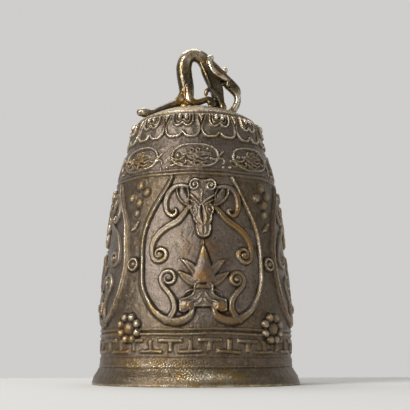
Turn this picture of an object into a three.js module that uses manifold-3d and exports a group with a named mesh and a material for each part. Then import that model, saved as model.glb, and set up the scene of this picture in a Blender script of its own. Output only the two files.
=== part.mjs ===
// A round bronze bell with a dragon handle, relief panels and a loose clapper.
// Millimetres, with Z up. The origin is the centre of the mouth, on the plane the rim stands on, and the
// middle of the front panel faces the negative Y direction.
import * as THREE from "three";
import { mergeVertices } from "three/addons/utils/BufferGeometryUtils.js";
import Module from "manifold-3d";

const wasm = await Module();
wasm.setup();

// Bell wall
const mouthRadius = 82;
const lipHeight = 2;
const flareHeight = 13.6;
const skirtRadius = 75.9;
const plainBandTop = 20.9;
const fretRecess = 0.9;
const fretBandTop = 35.2;
const ridgeHeights = [37.6, 41.2];
const ridgeProud = 1.1;
const ridgeHalfWidth = 1.2;
const wallFoot = 43;
const wallBulge = 1.6;
const shoulderHeight = 154;
const shoulderRadius = 64.4;
const shoulderStep = 3.4;
const domeRise = 57.4;
const crownRise = 12.6;
const wallThickness = 4.6;
const lipThickness = 5.6;
const crownThickness = 8.6;
const ceilingRadius = 29;
const wallFacets = 48;

// Panels on the wall
const runningGap = 0.3;
const panelCount = 4;
const frameWidth = 5;
const frameProud = 2.2;
const scrollWidth = 3.6;
const scrollProud = 2;
const maskProud = 4;
const lotusProud = 2.6;

// Ornament between the panels
const stringBall = 3.7;
const ballProud = 2.4;
const bossReach = 5.4;
const bossClearance = 0.6;
const rosetteReach = 8.3;
const rosetteBall = 3.3;

// Bands
const fretCount = 16;
const fretStroke = 3;
const fretProud = 1;
const cartoucheCount = 8;
const cartoucheTurn = -5;
const cartoucheSpacing = 11.4;
const cartoucheClearance = 3.8;
const cartoucheProud = 1.3;
const petalCount = 12;
const petalSteps = 6;
const petalProud = 1.9;
const petalGap = 0.4;

// Handle and clapper
const backThickness = 12;
const handleReach = 49.5;
const handleRise = 53;
const tenonRadius = 3.2;
const rivetHead = 2.6;
const roveRadius = 7;
const roveThickness = 1.6;
const stapleBar = 2.6;
const stapleHalfSpan = 9;
const stapleDrop = 15;
const eyeBar = 2.3;
const eyeRadius = 5.6;
const shankRadius = 3;
const bobRadius = 14;
const bobHeight = 44;
const pinRadius = 1.1;
const pinFit = 0.15;

const lerp = THREE.MathUtils.lerp;
const union = (solids) => solids.reduce((whole, next) => whole.add(next));

// Turns a closed geometry into a solid, with its repeated corners merged
function solidOf(geometry) {
  const bare = geometry.index ? geometry.toNonIndexed() : geometry.clone();
  bare.deleteAttribute("normal");
  bare.deleteAttribute("uv");
  const merged = mergeVertices(bare, 1e-4);
  const corners = merged.index.array;
  const kept = [];
  for (let i = 0; i < corners.length; i += 3) {
    const [a, b, c] = [corners[i], corners[i + 1], corners[i + 2]];
    if (a !== b && b !== c && c !== a) kept.push(a, b, c);
  }
  const vertProperties = new Float32Array(merged.attributes.position.array);
  const make = (list) =>
    new wasm.Manifold(new wasm.Mesh({ numProp: 3, vertProperties, triVerts: new Uint32Array(list) }));
  const made = make(kept);
  return made.volume() > 0 ? made : make(kept.reverse());
}

function geometryOf(solid) {
  const made = solid.getMesh();
  const geometry = new THREE.BufferGeometry();
  geometry.setAttribute("position", new THREE.BufferAttribute(made.vertProperties, 3));
  geometry.setIndex(new THREE.BufferAttribute(made.triVerts, 1));
  geometry.computeVertexNormals();
  return geometry;
}

// Joins rings of equal length into a skin, and closes its two ends
function skin(rings, closed = false) {
  const sides = rings[0].length;
  const index = [];
  const spans = closed ? rings.length : rings.length - 1;
  for (let i = 0; i < spans; i++) {
    const next = (i + 1) % rings.length;
    for (let k = 0; k < sides; k++) {
      const [a, b] = [i * sides + k, i * sides + ((k + 1) % sides)];
      const [c, d] = [next * sides + k, next * sides + ((k + 1) % sides)];
      index.push(a, b, d, a, d, c);
    }
  }
  const last = (rings.length - 1) * sides;
  for (let k = 1; k < sides - 1 && !closed; k++) index.push(0, k + 1, k, last, last + k, last + k + 1);
  const geometry = new THREE.BufferGeometry();
  const position = rings.flat().flatMap((point) => [point.x, point.y, point.z]);
  geometry.setAttribute("position", new THREE.Float32BufferAttribute(position, 3));
  geometry.setIndex(index);
  return solidOf(geometry);
}

// Reads a list of values as one smooth run, at a share from 0 to 1
function valueAt(values, share) {
  const along = share * (values.length - 1);
  const low = Math.min(Math.floor(along), values.length - 2);
  return lerp(values[low], values[low + 1], along - low);
}

// Revolves [radius, height] pairs about the bell's axis
function revolve(profile, segments = wallFacets) {
  const points = profile.map(([radius, height]) => new THREE.Vector2(radius, height));
  return solidOf(new THREE.LatheGeometry(points, segments).rotateX(Math.PI / 2));
}

// A round bar along a smooth curve, whose radius follows the radii given. Depth thickens it along Y
function bar(points, radii, sides = 8, steps = 16, { closed = false, depth = 1 } = {}) {
  const curve = new THREE.CatmullRomCurve3(points.map((p) => new THREE.Vector3(...p)), closed);
  const frames = curve.computeFrenetFrames(steps, closed);
  const rings = [];
  for (let i = 0; i < (closed ? steps : steps + 1); i++) {
    const radius = valueAt(radii, i / steps);
    const centre = curve.getPointAt(i / steps);
    const ring = [];
    for (let k = 0; k < sides; k++) {
      const turn = (2 * Math.PI * k) / sides;
      const out = new THREE.Vector3()
        .addScaledVector(frames.normals[i], radius * Math.cos(turn))
        .addScaledVector(frames.binormals[i], radius * Math.sin(turn));
      out.y *= depth;
      ring.push(out.add(centre));
    }
    rings.push(ring);
  }
  return skin(rings, closed);
}

function ball(centre, radii, columns = 10, rows = 7) {
  const geometry = new THREE.SphereGeometry(1, columns, rows);
  geometry.scale(...radii);
  geometry.translate(...centre);
  return solidOf(geometry);
}

function cylinder(radius, length, centre, along = "z", sides = 12) {
  const geometry = new THREE.CylinderGeometry(radius, radius, length, sides);
  if (along === "z") geometry.rotateX(Math.PI / 2);
  geometry.translate(...centre);
  return solidOf(geometry);
}

// The bell's wall

const ground = skirtRadius - fretRecess;
const crownEdgeHeight = shoulderHeight + domeRise;

const betweenHeight = (share) => lerp(wallFoot, shoulderHeight, share);

// Radius of the bare wall between its foot and the shoulder: a straight batter with a soft belly
function bellyRadius(height) {
  const share = THREE.MathUtils.clamp((height - wallFoot) / (shoulderHeight - wallFoot), 0, 1);
  return lerp(ground, shoulderRadius, share) + wallBulge * Math.sin(Math.PI * share ** 0.7);
}

// The dome above the shoulder, as shares of its rise and of the shoulder's radius
const domeCurve = [[0.14, 0.98], [0.42, 0.915], [0.57, 0.868], [0.8, 0.812], [0.92, 0.772], [1, 0.714]];
// The crown over the dome, as shares of its rise and of its edge radius
const crownCurve = [[0.33, 0.87], [0.7, 0.62], [0.94, 0.3], [1, 0]];

const crownEdgeRadius = shoulderRadius * domeCurve.at(-1)[1];
const domeStations = domeCurve.map(([up, out]) => [shoulderRadius * out, shoulderHeight + domeRise * up]);
const crownStations = crownCurve.map(([up, out]) => {
  return [crownEdgeRadius * out, crownEdgeHeight + crownRise * up];
});
const bellyShares = [0, 0.18, 0.45, 0.72, 0.985];
const bellyStations = bellyShares.map((share) => {
  return [bellyRadius(betweenHeight(share)), betweenHeight(share)];
});
const crownTop = crownEdgeHeight + crownRise;
const crownUnderside = crownTop - crownThickness;

// Radius of the bare wall at any height above the fret band
function wallRadius(height) {
  if (height <= wallFoot) return ground;
  if (height <= shoulderHeight) return bellyRadius(height);
  const line = [[shoulderRadius, shoulderHeight], ...domeStations, ...crownStations];
  const above = line.findIndex(([, level]) => level >= height);
  const [low, high] = [line[above - 1], line[above]];
  return lerp(low[0], high[0], (height - low[1]) / (high[1] - low[1]));
}

const ridge = (height, radius, proud) => [
  [radius, height - ridgeHalfWidth],
  [radius + proud, height],
  [radius, height + ridgeHalfWidth],
];

function outerProfile() {
  const flare = mouthRadius - skirtRadius;
  return [
    [mouthRadius - 0.5, 0],
    [mouthRadius, 0.5],
    [mouthRadius, lipHeight],
    [skirtRadius + flare * 0.55, lerp(lipHeight, flareHeight, 0.55)],
    [skirtRadius, flareHeight],
    [skirtRadius, plainBandTop - 0.6],
    [ground, plainBandTop],
    ...ridgeHeights.flatMap((height) => ridge(height, ground, ridgeProud)),
    ...bellyStations,
    ...ridge(shoulderHeight + shoulderStep, shoulderRadius - 0.6, ridgeProud),
    ...domeStations,
    ...crownStations,
  ];
}

function innerProfile() {
  const shoulderInside = shoulderRadius - wallThickness;
  return [
    [0, crownUnderside],
    [ceilingRadius, crownUnderside],
    [crownEdgeRadius - wallThickness, crownEdgeHeight - wallThickness - 1.5],
    [domeStations[2][0] - wallThickness, domeStations[2][1]],
    [shoulderInside, shoulderHeight],
    [bellyRadius(betweenHeight(0.45)) - wallThickness, betweenHeight(0.45)],
    [ground - wallThickness, plainBandTop],
    [mouthRadius - lipThickness, 0],
  ];
}

// The solid of everything inside the bell's outside, grown by the running gap, for cutting what sits on it
function wallGauge(gap = runningGap) {
  const grow = ([radius, height]) => [radius === 0 ? 0 : radius + gap, height + gap * 0.6];
  const grown = outerProfile().map(grow);
  return revolve([[0, -1], [mouthRadius + gap, -1], ...grown]);
}

// Relief, drawn on the unrolled wall

// Even turns round the bell, from a first one
const turnsOf = (count, first = 0) => {
  return Array.from({ length: count }, (_, i) => first + (2 * Math.PI * i) / count);
};
const panelTurns = turnsOf(panelCount);
const gapTurns = turnsOf(panelCount, Math.PI / panelCount);

// Arc from the middle of a panel to the middle of the gap beside it, and to the middle line of its frame
const gapReach = (Math.PI * ground) / panelCount;
const railReach = gapReach - bossReach - bossClearance - frameWidth / 2;

// Places a point of the unrolled wall: across is the arc length at the skirt's ground from the middle of a
// motif, and lift is the height above the bare wall
function onWall(across, height, lift, turn) {
  const angle = across / ground + turn;
  const radius = wallRadius(height) + lift;
  return new THREE.Vector3(radius * Math.sin(angle), -radius * Math.cos(angle), height);
}

// Runs a curve through drawn points, evenly spaced
function drawn(points, steps) {
  const curve = new THREE.SplineCurve(points.map(([across, height]) => new THREE.Vector2(across, height)));
  return curve.getSpacedPoints(steps);
}

// Right halves of a strap's section, as shares of its half width and of its height
const ridgeTop = [[0, 1]];
const flatTop = [[0.62, 1]];
const roundTop = [[0.84, 0.7], [0.4, 1]];

// A raised strap along a drawn line. A wide one has a keel point, so that its back follows the wall
function strap(points, style) {
  const { widths, proud, steps, turn = 0, top = ridgeTop, base = runningGap } = style;
  const { loop = false, keel = false } = style;
  const line = drawn(points, steps).slice(0, loop ? steps : steps + 1);
  const neighbour = (i) => (loop ? line[(i + steps) % steps] : line[THREE.MathUtils.clamp(i, 0, steps)]);
  const left = top.filter(([out]) => out > 0).map(([out, up]) => [-out, up]);
  const section = [[1, 0], ...top, ...left.reverse(), [-1, 0], ...(keel ? [[0, 0]] : [])];
  const rings = line.map((point, i) => {
    const [before, after] = [neighbour(i - 1), neighbour(i + 1)];
    const side = new THREE.Vector2(before.y - after.y, after.x - before.x).normalize();
    const half = valueAt(widths, i / steps) / 2;
    const rise = valueAt([proud, proud].flat(), i / steps);
    return section.map(([out, up]) =>
      onWall(point.x + side.x * half * out, point.y + side.y * half * out, base + rise * up, turn),
    );
  });
  return skin(rings, loop);
}

// Points of a scroll that winds inwards from a start radius to an end radius
function scroll([across, height], from, to, startTurn, turns, steps) {
  const points = [];
  for (let i = 0; i <= steps; i++) {
    const radius = lerp(from, to, i / steps);
    const angle = 2 * Math.PI * (startTurn + (turns * i) / steps);
    points.push([across + radius * Math.cos(angle), height + radius * Math.sin(angle)]);
  }
  return points;
}

const mirrored = (points) => points.map(([across, height]) => [-across, height]);
const pair = (points, options) => [strap(points, options), strap(mirrored(points), options)];

// Stands a geometry that was made round the Y axis on the wall, with that axis pointing out
function stood(geometry, across, height, lift, turn) {
  geometry.rotateZ(across / ground + turn);
  geometry.translate(...onWall(across, height, lift, turn).toArray());
  return solidOf(geometry);
}

// A knob on the wall, or lifted off it where it sits on other relief
function knob([across, height], reach, proud, { turn, columns = 6, rows = 4, lift = 0 }) {
  const geometry = new THREE.SphereGeometry(1, columns, rows);
  return stood(geometry.scale(reach, proud, reach), across, height, lift, turn);
}

// A round plate on the wall
function plate([across, height], reach, proud, turn) {
  return stood(new THREE.CylinderGeometry(reach, reach, proud * 2, 12), across, height, 0, turn);
}

// A panel is drawn in hundredths: across of the way to its frame's middle line, and up its wall
const acrossPanel = (hundredths) => (hundredths / 100) * railReach;
const panelPoints = (points) => points.map(([across, up]) => [acrossPanel(across), betweenHeight(up / 100)]);

// One side of a panel's frame, with the cloud foot below it and the scroll that grows from that foot
function panelFrame(side, turn) {
  const place = (points) => (side > 0 ? points : mirrored(points));
  const rail = panelPoints([
    [60, 98], [75, 85], [92, 69], [100, 46], [97, 28], [80, 13], [51, 4.5], [29, 5.5], [14, 10.5],
  ]);
  const foot = frameWidth * 1.3;
  const frame = strap(place(rail), {
    widths: [frameWidth * 0.7, frameWidth, frameWidth, frameWidth, frameWidth, foot, foot, frameWidth, 0.8],
    proud: frameProud,
    steps: 15,
    turn,
    top: flatTop,
  });
  const stem = panelPoints([[49, 4.6], [44.5, 8], [41, 13], [43.5, 18], [53, 23.5]]);
  const [centre] = panelPoints([[52, 31]]);
  const curl = strap(place([...stem, ...scroll(centre, acrossPanel(13), acrossPanel(4.5), -0.1, 1.1, 7)]), {
    widths: [scrollWidth * 1.2, scrollWidth * 1.1, scrollWidth, scrollWidth * 0.8, scrollWidth * 0.6],
    proud: scrollProud,
    steps: 13,
    turn,
  });
  return union([frame, curl]);
}

// The horned beast's face, broad at the brow and narrow at the muzzle
function beastFace(turn) {
  const face = strap(panelPoints([[0, 97.8], [0, 93], [0, 84], [0, 74], [0, 64], [0, 57.8]]), {
    widths: [36, 46, 40, 32, 24, 21, 10].map(acrossPanel),
    proud: [0.4, 0.6, 0.7, 0.85, 0.92, 0.85, 0.4].map((share) => share * maskProud),
    steps: 7,
    turn,
    top: roundTop,
    keel: true,
  });
  const onFace = { turn, columns: 5, rows: 3, lift: maskProud * 0.6 };
  const brow = { widths: [1.2, 2.2, 1.2], proud: maskProud * 0.5, base: maskProud * 0.5, steps: 2, turn };
  const eyes = panelPoints([[-11, 77], [11, 77]]).map((spot) =>
    knob(spot, acrossPanel(3.6), maskProud * 0.38, onFace),
  );
  const horns = panelPoints([[-14, 94.2], [14, 94.2]]).map((spot) =>
    knob(spot, acrossPanel(9.4), maskProud * 0.38, { ...onFace, columns: 6, rows: 4 }),
  );
  return [face, ...eyes, ...horns, ...pair(panelPoints([[2.5, 81.5], [9, 84], [17, 86.5]]), brow)];
}

// The beast's face with an ear and a hanging scroll on each side of it
function beastMask(turn) {
  const ear = panelPoints([
    [19, 92], [33, 93.8], [49, 92.8], [60, 87.5], [62, 81], [57, 75], [49, 74], [43, 77],
  ]);
  const fold = panelPoints([[17, 81.5], [33, 83.5], [43, 90]]);
  const cheek = panelPoints([[15, 80.5], [28, 76], [41, 70.5], [57, 65.5], [73, 59]]);
  const [centre] = panelPoints([[66.5, 47.5]]);
  const hanging = [...cheek, ...scroll(centre, acrossPanel(14), acrossPanel(4.5), 0.07, -1.1, 7)];
  return union([
    ...beastFace(turn),
    ...pair(ear, {
      widths: [0.8, 0.9, 1.2, 1.1, 0.6].map((share) => share * scrollWidth),
      proud: scrollProud * 0.85,
      steps: 8,
      turn,
    }),
    ...pair(fold, { widths: [1.8, 2.2, 1.2], proud: scrollProud * 0.7, steps: 2, turn }),
    ...pair(hanging, {
      widths: [scrollWidth, scrollWidth * 1.3, scrollWidth * 1.2, scrollWidth * 0.8, scrollWidth * 0.6],
      proud: scrollProud,
      steps: 13,
      turn,
    }),
  ]);
}

// The lotus below the mask: a bud on a neck, two pairs of leaves, a cap and a saddle with two drooping lobes
function lotus(turn) {
  const leaf = { proud: lotusProud * 0.75, steps: 2, turn };
  const upperLeaf = panelPoints([[10, 34.5], [22, 39.5], [32, 42.6]]);
  const lowerLeaf = panelPoints([[12, 29], [26, 33], [37.5, 35.3]]);
  const cap = panelPoints([[-13.5, 23], [-12, 27.6], [0, 29], [12, 27.6], [13.5, 23]]);
  const wing = panelPoints([[10, 24.6], [19, 23], [27, 20.4]]);
  const saddle = panelPoints([[-32, 13.8], [-17, 15.8], [0, 17.8], [17, 15.8], [32, 13.8]]);
  const bud = strap(panelPoints([[0, 20], [0, 31], [0, 42], [0, 52.3]]), {
    widths: [24, 26, 35, 21, 13, 1].map(acrossPanel),
    proud: [0.6, 0.6, 0.9, 1, 1, 0.3].map((share) => share * lotusProud),
    steps: 5,
    turn,
    keel: true,
  });
  return union([
    bud,
    ...pair(upperLeaf, { ...leaf, widths: [9, 11, 1].map(acrossPanel) }),
    ...pair(lowerLeaf, { ...leaf, widths: [11, 10, 1].map(acrossPanel) }),
    ...pair(wing, { ...leaf, widths: [3, 6, 2].map(acrossPanel) }),
    strap(cap, { widths: [3.4, 4, 3.4].map(acrossPanel), proud: lotusProud, steps: 4, turn }),
    strap(saddle, {
      widths: [17, 18, 21, 18, 17].map(acrossPanel),
      proud: lotusProud,
      steps: 6,
      turn,
      top: flatTop,
    }),
  ]);
}

// Ornament between the panels

const rosetteHeight = (fretBandTop + wallFoot) / 2 + 3;

// A ring of balls round a larger one. It rides on the two ridges at the foot of the wall
function rosette(turn) {
  const back = ground + ridgeProud + runningGap;
  const balls = [
    plate([0, rosetteHeight], rosetteReach, back - ground + 0.8, turn),
    knob([0, rosetteHeight], rosetteReach * 0.62, ballProud * 1.8, { turn, rows: 6 }),
  ];
  for (let i = 0; i < 8; i++) {
    const angle = (2 * Math.PI * (i + 0.5)) / 8;
    const [across, up] = [rosetteReach * Math.cos(angle), rosetteReach * Math.sin(angle)];
    balls.push(knob([across, rosetteHeight + up], rosetteBall, ballProud * 1.5, { turn, columns: 5 }));
  }
  const core = revolve([[0, 0], [back, 0], [back, betweenHeight(0.3)], [0, betweenHeight(0.3)]]);
  return union(balls).subtract(core);
}

// The rimmed boss where two frames come closest
function rimmedBoss(turn) {
  const height = betweenHeight(0.43);
  const disc = plate([0, height], bossReach, ballProud * 0.7, turn);
  const hub = knob([0, height], bossReach * 0.6, ballProud * 1.6, { turn, rows: 6 });
  return union([disc, hub]).subtract(wallGauge());
}

// A string of balls that hangs between two frames, with a drop of leaf below it
function ballString(turn) {
  const spots = [[0, 0.965, 1], [-8, 0.89, 0.95], [8, 0.905, 0.95], [1, 0.845, 1], [1, 0.77, 0.85]];
  const balls = spots.map(([across, share, size]) =>
    knob([across, betweenHeight(share)], stringBall * size, ballProud, { turn, columns: 6 }),
  );
  const leaf = [-1, 0, 1].map((end) => [stringBall * 1.2 * end, betweenHeight(0.68 + 0.03 * end)]);
  const drop = strap(leaf, { widths: [0.8, 5, 0.8], proud: ballProud, base: -0.6, steps: 4, turn });
  return [...balls, drop];
}

// Bands

// The key fret: upright and inverted letters T that interlock round the skirt
function keyFret() {
  const strokes = [];
  const sink = -0.6;
  const pitch = (2 * Math.PI * ground) / fretCount;
  const low = plainBandTop + 3.2;
  const high = fretBandTop - 1.8;
  const style = { widths: [fretStroke, fretStroke], proud: fretProud - sink, top: [[0.86, 1]], base: sink };
  for (let i = 0; i < fretCount; i++) {
    for (const upright of [true, false]) {
      const turn = (2 * Math.PI * (i + (upright ? 0.5 : 0))) / fretCount;
      const [bar, foot] = upright ? [high - fretStroke / 2, low] : [low + fretStroke / 2, high];
      const half = pitch * 0.3;
      strokes.push(strap([[-half, bar], [half, bar]], { ...style, steps: 2, turn }));
      strokes.push(strap([[0, bar], [0, foot]], { ...style, steps: 1, turn }));
    }
  }
  return strokes;
}

const petalFoot = shoulderHeight + domeRise * 0.56;
const petalHead = shoulderHeight + domeRise * 0.93;

// A cartouche on the shoulder: an oval rim, and a ribbon with a knot in its middle, whose ends cross the rim
function cartouche(turn) {
  const sill = shoulderHeight + shoulderStep + ridgeHalfWidth;
  const height = (sill + petalFoot) / 2;
  const halfHeight = (petalFoot - sill) / 2 - cartoucheClearance;
  const reach = (Math.PI * ground) / cartoucheCount - (cartoucheSpacing / 2) * (ground / shoulderRadius);
  const place = ([out, up]) => [out * reach, height + up * halfHeight];
  const oval = [];
  for (let i = 0; i <= 16; i++) {
    const angle = (2 * Math.PI * i) / 16;
    const [cosine, sine] = [Math.cos(angle), Math.sin(angle)];
    oval.push(place([Math.sign(cosine) * Math.abs(cosine) ** 0.8, Math.sign(sine) * Math.abs(sine) ** 0.9]));
  }
  const ribbon = [[-1.15, -0.5], [-0.7, -0.6], [-0.35, 0.15], [0.35, -0.35], [0.75, 0.1], [1.15, 0.25]];
  const knot = { turn, columns: 5, rows: 3, lift: cartoucheProud };
  return union([
    strap(oval, { widths: [2.2, 2.2], proud: cartoucheProud, steps: 16, turn, loop: true }),
    strap(ribbon.map(place), { widths: [1.6, 3, 3.6, 3, 1.6], proud: cartoucheProud, steps: 9, turn }),
    knob(place([0, 0.1]), halfHeight * 0.34, cartoucheProud * 0.7, knot),
  ]);
}

// One double shield in the middle of a petal
function petalShield(turn) {
  const reach = (Math.PI * ground) / petalCount;
  const half = [[0.26, 0.48], [0.5, 0.7], [0.46, 0.92]];
  const outline = [...mirrored(half).reverse(), [0, 0.6], ...half];
  const points = outline.map(([out, up]) => [out * reach, lerp(petalFoot, petalHead, up)]);
  const base = petalGap + petalProud * 0.26;
  return strap(points, { widths: [2, 2.6, 2], proud: petalProud * 0.75, base, steps: 6, turn });
}

// The collar of petals under the crown. Each petal hangs in two lobes with a raised hem, a notch parts it
// from the next, and a shield stands on it
function petalCollar() {
  const backRows = [0, 0.55, 1];
  const frontRows = [[1, 0.6], [0.25, 0.5], [0.08, 1], [0, 0.7]];
  const rings = [];
  for (let i = 0; i < petalCount * petalSteps; i++) {
    const share = (i % petalSteps) / petalSteps;
    const lobe = Math.abs(Math.sin(2 * Math.PI * share)) ** 0.45;
    const notch = share === 0 ? 0.32 : 0.14;
    const foot = petalFoot + (1 - lobe) * (petalHead - petalFoot) * notch;
    const turn = (2 * Math.PI * i) / (petalCount * petalSteps);
    const point = (row, lift) => onWall(0, lerp(foot, petalHead, row), petalGap + lift, turn);
    const front = frontRows.map(([row, lift]) => point(row, petalProud * lift * (share === 0 ? 0.6 : 1)));
    rings.push([...backRows.map((row) => point(row, 0)), ...front]);
  }
  const shields = turnsOf(petalCount, Math.PI / petalCount).map(petalShield);
  return union([skin(rings, true), ...shields]);
}

// The body of the bell

const tenonSpots = [-0.166, 0.384].map((share) => share * handleReach);

function bellBody() {
  const whole = revolve([...innerProfile(), ...outerProfile()]);
  const strings = gapTurns.flatMap((turn) => ballString(turn));
  const holes = tenonSpots.map((x) =>
    cylinder(tenonRadius + runningGap, 60, [x, 0, crownUnderside + 20]),
  );
  const sockets = [-1, 1].map((side) =>
    cylinder(stapleBar + runningGap, 20, [0, side * stapleHalfSpan, crownUnderside - 6.6]),
  );
  const decorated = union([whole, ...strings, ...keyFret()]);
  return [...holes, ...sockets].reduce((body, hole) => body.subtract(hole), decorated);
}

// The dragon

// The handle is drawn in its own plane: shares of its reach, of the back's thickness, and of its rise
// above the crown
function dragonPoint([across, deep, up]) {
  return [across * handleReach, deep * backThickness, crownTop + up * handleRise];
}

// The figure's limbs and knobs are drawn in millimetres for a back 12 thick
const figureSize = (size) => (size * backThickness) / 12;

function limb(points, radii, sides, steps, depth = 1) {
  return bar(points.map(dragonPoint), radii.map(figureSize), sides, steps, { depth });
}

function bead(point, radii, sides = 7, rows = 5) {
  return ball(dragonPoint(point), radii.map(figureSize), sides, rows);
}

// The arched back from its foot on the left, over the top and down the neck to its foot on the right
const dragonBack = () =>
  limb(
    [
      [-0.166, 0, -0.08], [-0.162, 0, 0.16], [-0.168, 0, 0.36], [-0.2, 0, 0.54], [-0.212, 0, 0.7],
      [-0.154, 0, 0.85], [-0.036, 0, 0.908], [0.09, 0, 0.845], [0.174, 0, 0.7], [0.27, 0, 0.515],
      [0.335, 0, 0.345], [0.37, 0, 0.17], [0.384, 0, -0.1],
    ],
    [5.4, 5.8, 6.5, 6.7, 6.5, 6, 5.7, 5.9, 6.1, 6.2, 5.6, 5, 5],
    10,
    26,
  );

// The head that hangs forward from the neck, with its snout curled down into a beard
function dragonHead() {
  const skull = limb(
    [
      [0.21, 0, 0.8], [0.297, 0, 0.71], [0.376, 0, 0.626], [0.477, 0, 0.54], [0.586, 0, 0.46],
      [0.675, 0, 0.37], [0.735, 0, 0.3],
    ],
    [4, 4.1, 3.8, 3.7, 3.8, 3.2, 1.5],
    9,
    9,
    1.25,
  );
  const beard = limb(
    [
      [0.535, 0, 0.434], [0.65, 0, 0.35], [0.695, 0, 0.234], [0.683, 0, 0.13], [0.622, 0, 0.03],
      [0.54, 0, -0.07],
    ],
    [3.5, 3.8, 3.2, 3.1, 3.2, 3.2],
    8,
    10,
    1.1,
  );
  const cheek = (side) => [
    limb(
      [
        [0.235, side * 0.3, 0.84], [0.218, side * 0.38, 0.747], [0.259, side * 0.42, 0.655],
        [0.339, side * 0.43, 0.58], [0.449, side * 0.4, 0.527], [0.53, side * 0.3, 0.48],
      ],
      [1.6, 1.9, 2.1, 2.1, 1.9, 1.7],
      6,
      9,
    ),
    bead([0.24, side * 0.22, 0.85], [2.7, 2.7, 2.9]),
    bead([0.533, side * 0.3, 0.398], [2.1, 1.8, 2.1]),
  ];
  return [skull, beard, bead([0.468, 0, 0.655], [2.6, 3.4, 2.6]), ...cheek(-1), ...cheek(1)];
}

// The tail that sweeps left to a knob, the foreleg that curls round a ball, and the claw in front of the neck
function dragonLimbs() {
  const tail = limb(
    [
      [-0.19, -0.12, 0.32], [-0.245, -0.16, 0.2], [-0.343, -0.22, 0.107], [-0.465, -0.27, 0.055],
      [-0.606, -0.33, 0.008], [-0.79, -0.4, -0.055],
    ],
    [3.4, 3.7, 3.4, 3.1, 3, 2.6],
    8,
    10,
  );
  const foreleg = limb(
    [
      [-0.12, -0.33, 0.4], [-0.141, -0.42, 0.264], [-0.121, -0.47, 0.145], [-0.038, -0.5, 0.095],
      [0.067, -0.53, 0.11], [0.19, -0.55, 0.15], [0.277, -0.57, 0.11], [0.283, -0.57, 0.045],
      [0.222, -0.57, 0.03],
    ],
    [3, 3.1, 3, 2.9, 2.8, 2.4, 2.1, 1.9, 1.7],
    7,
    16,
  );
  const claw = limb(
    [
      [0.16, -0.42, 0.257], [0.182, -0.42, 0.29], [0.244, -0.43, 0.304], [0.339, -0.42, 0.226],
      [0.402, -0.4, 0.125], [0.442, -0.37, 0.02],
    ],
    [1.8, 1.8, 1.9, 2, 2.1, 2.4],
    6,
    9,
  );
  const beads = [
    bead([-0.879, -0.42, -0.068], [6.2, 4.6, 3.9], 10, 7),
    bead([0.222, -0.57, 0.087], [2.7, 2.7, 2.7]),
    bead([-0.17, 0, 0.03], [7, 6.6, 5], 10, 7),
  ];
  return [tail, foreleg, claw, ...beads];
}

function dragonHandle() {
  const figure = union([dragonBack(), ...dragonHead(), ...dragonLimbs()]);
  const tenons = tenonSpots.map((x) => {
    const [low, high] = [crownUnderside - roveThickness - rivetHead, crownTop + tenonRadius];
    return cylinder(tenonRadius, high - low, [x, 0, (low + high) / 2]);
  });
  return union([figure.subtract(wallGauge()), ...tenons]);
}

// Fixings and clapper

function rove(x) {
  const centre = crownUnderside - runningGap - roveThickness / 2;
  const plate = cylinder(roveRadius, roveThickness, [x, 0, centre]);
  return plate.subtract(cylinder(tenonRadius + runningGap, 10, [x, 0, centre]));
}

const stapleLow = crownUnderside - stapleDrop;
const eyeCentre = stapleLow + stapleBar + runningGap + eyeBar - (eyeRadius + eyeBar);
const pinHeight = bobHeight - bobRadius - pinRadius - runningGap - 1;

function clapperStaple() {
  const top = crownUnderside + 2.8;
  const span = stapleHalfSpan;
  const points = [[0, -span, top], [0, -span, stapleLow + span]];
  for (let i = 1; i < 6; i++) {
    const angle = (Math.PI * i) / 6;
    points.push([0, -span * Math.cos(angle), stapleLow + span - span * Math.sin(angle)]);
  }
  points.push([0, span, stapleLow + span], [0, span, top]);
  return bar(points, [stapleBar, stapleBar], 8, 14);
}

function clapperShank() {
  const reach = eyeRadius + eyeBar;
  const points = [];
  for (let i = 0; i < 12; i++) {
    const angle = (2 * Math.PI * i) / 12;
    points.push([reach * Math.sin(angle), 0, eyeCentre + reach * Math.cos(angle)]);
  }
  const eye = bar(points, [eyeBar, eyeBar], 8, 16, { closed: true });
  const [low, high] = [pinHeight - pinRadius - 2.4, eyeCentre - reach + 0.5];
  const shaft = cylinder(shankRadius, high - low, [0, 0, (low + high) / 2], "z", 12);
  const pinHole = cylinder(pinRadius + pinFit, 20, [0, 0, pinHeight], "y", 8);
  return union([eye, shaft]).subtract(pinHole);
}

function clapperBob() {
  const profile = [[0, bobHeight - bobRadius]];
  for (let i = 1; i < 8; i++) {
    const angle = -Math.PI / 2 + (Math.PI * i) / 8;
    profile.push([bobRadius * Math.cos(angle), bobHeight + bobRadius * Math.sin(angle)]);
  }
  profile.push([0, bobHeight + bobRadius]);
  const bore = cylinder(shankRadius + runningGap, bobRadius * 3, [0, 0, bobHeight], "z", 12);
  return revolve(profile, 18).subtract(bore);
}

const bobPin = () => cylinder(pinRadius, shankRadius * 4, [0, 0, pinHeight], "y", 8);

// The whole bell

const bronze = new THREE.MeshStandardMaterial({ color: 0x6b5a44, roughness: 0.5, metalness: 0.85 });
const rubbedBronze = new THREE.MeshStandardMaterial({ color: 0x8f7748, roughness: 0.42, metalness: 0.9 });
const iron = new THREE.MeshStandardMaterial({ color: 0x3d3733, roughness: 0.7, metalness: 0.8 });

const bell = new THREE.Group();

function add(name, solid, material) {
  const mesh = new THREE.Mesh(geometryOf(solid), material.clone());
  mesh.name = name;
  bell.add(mesh);
}

const sides = ["front", "right", "back", "left"];
const corners = ["front_right", "back_right", "back_left", "front_left"];

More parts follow.
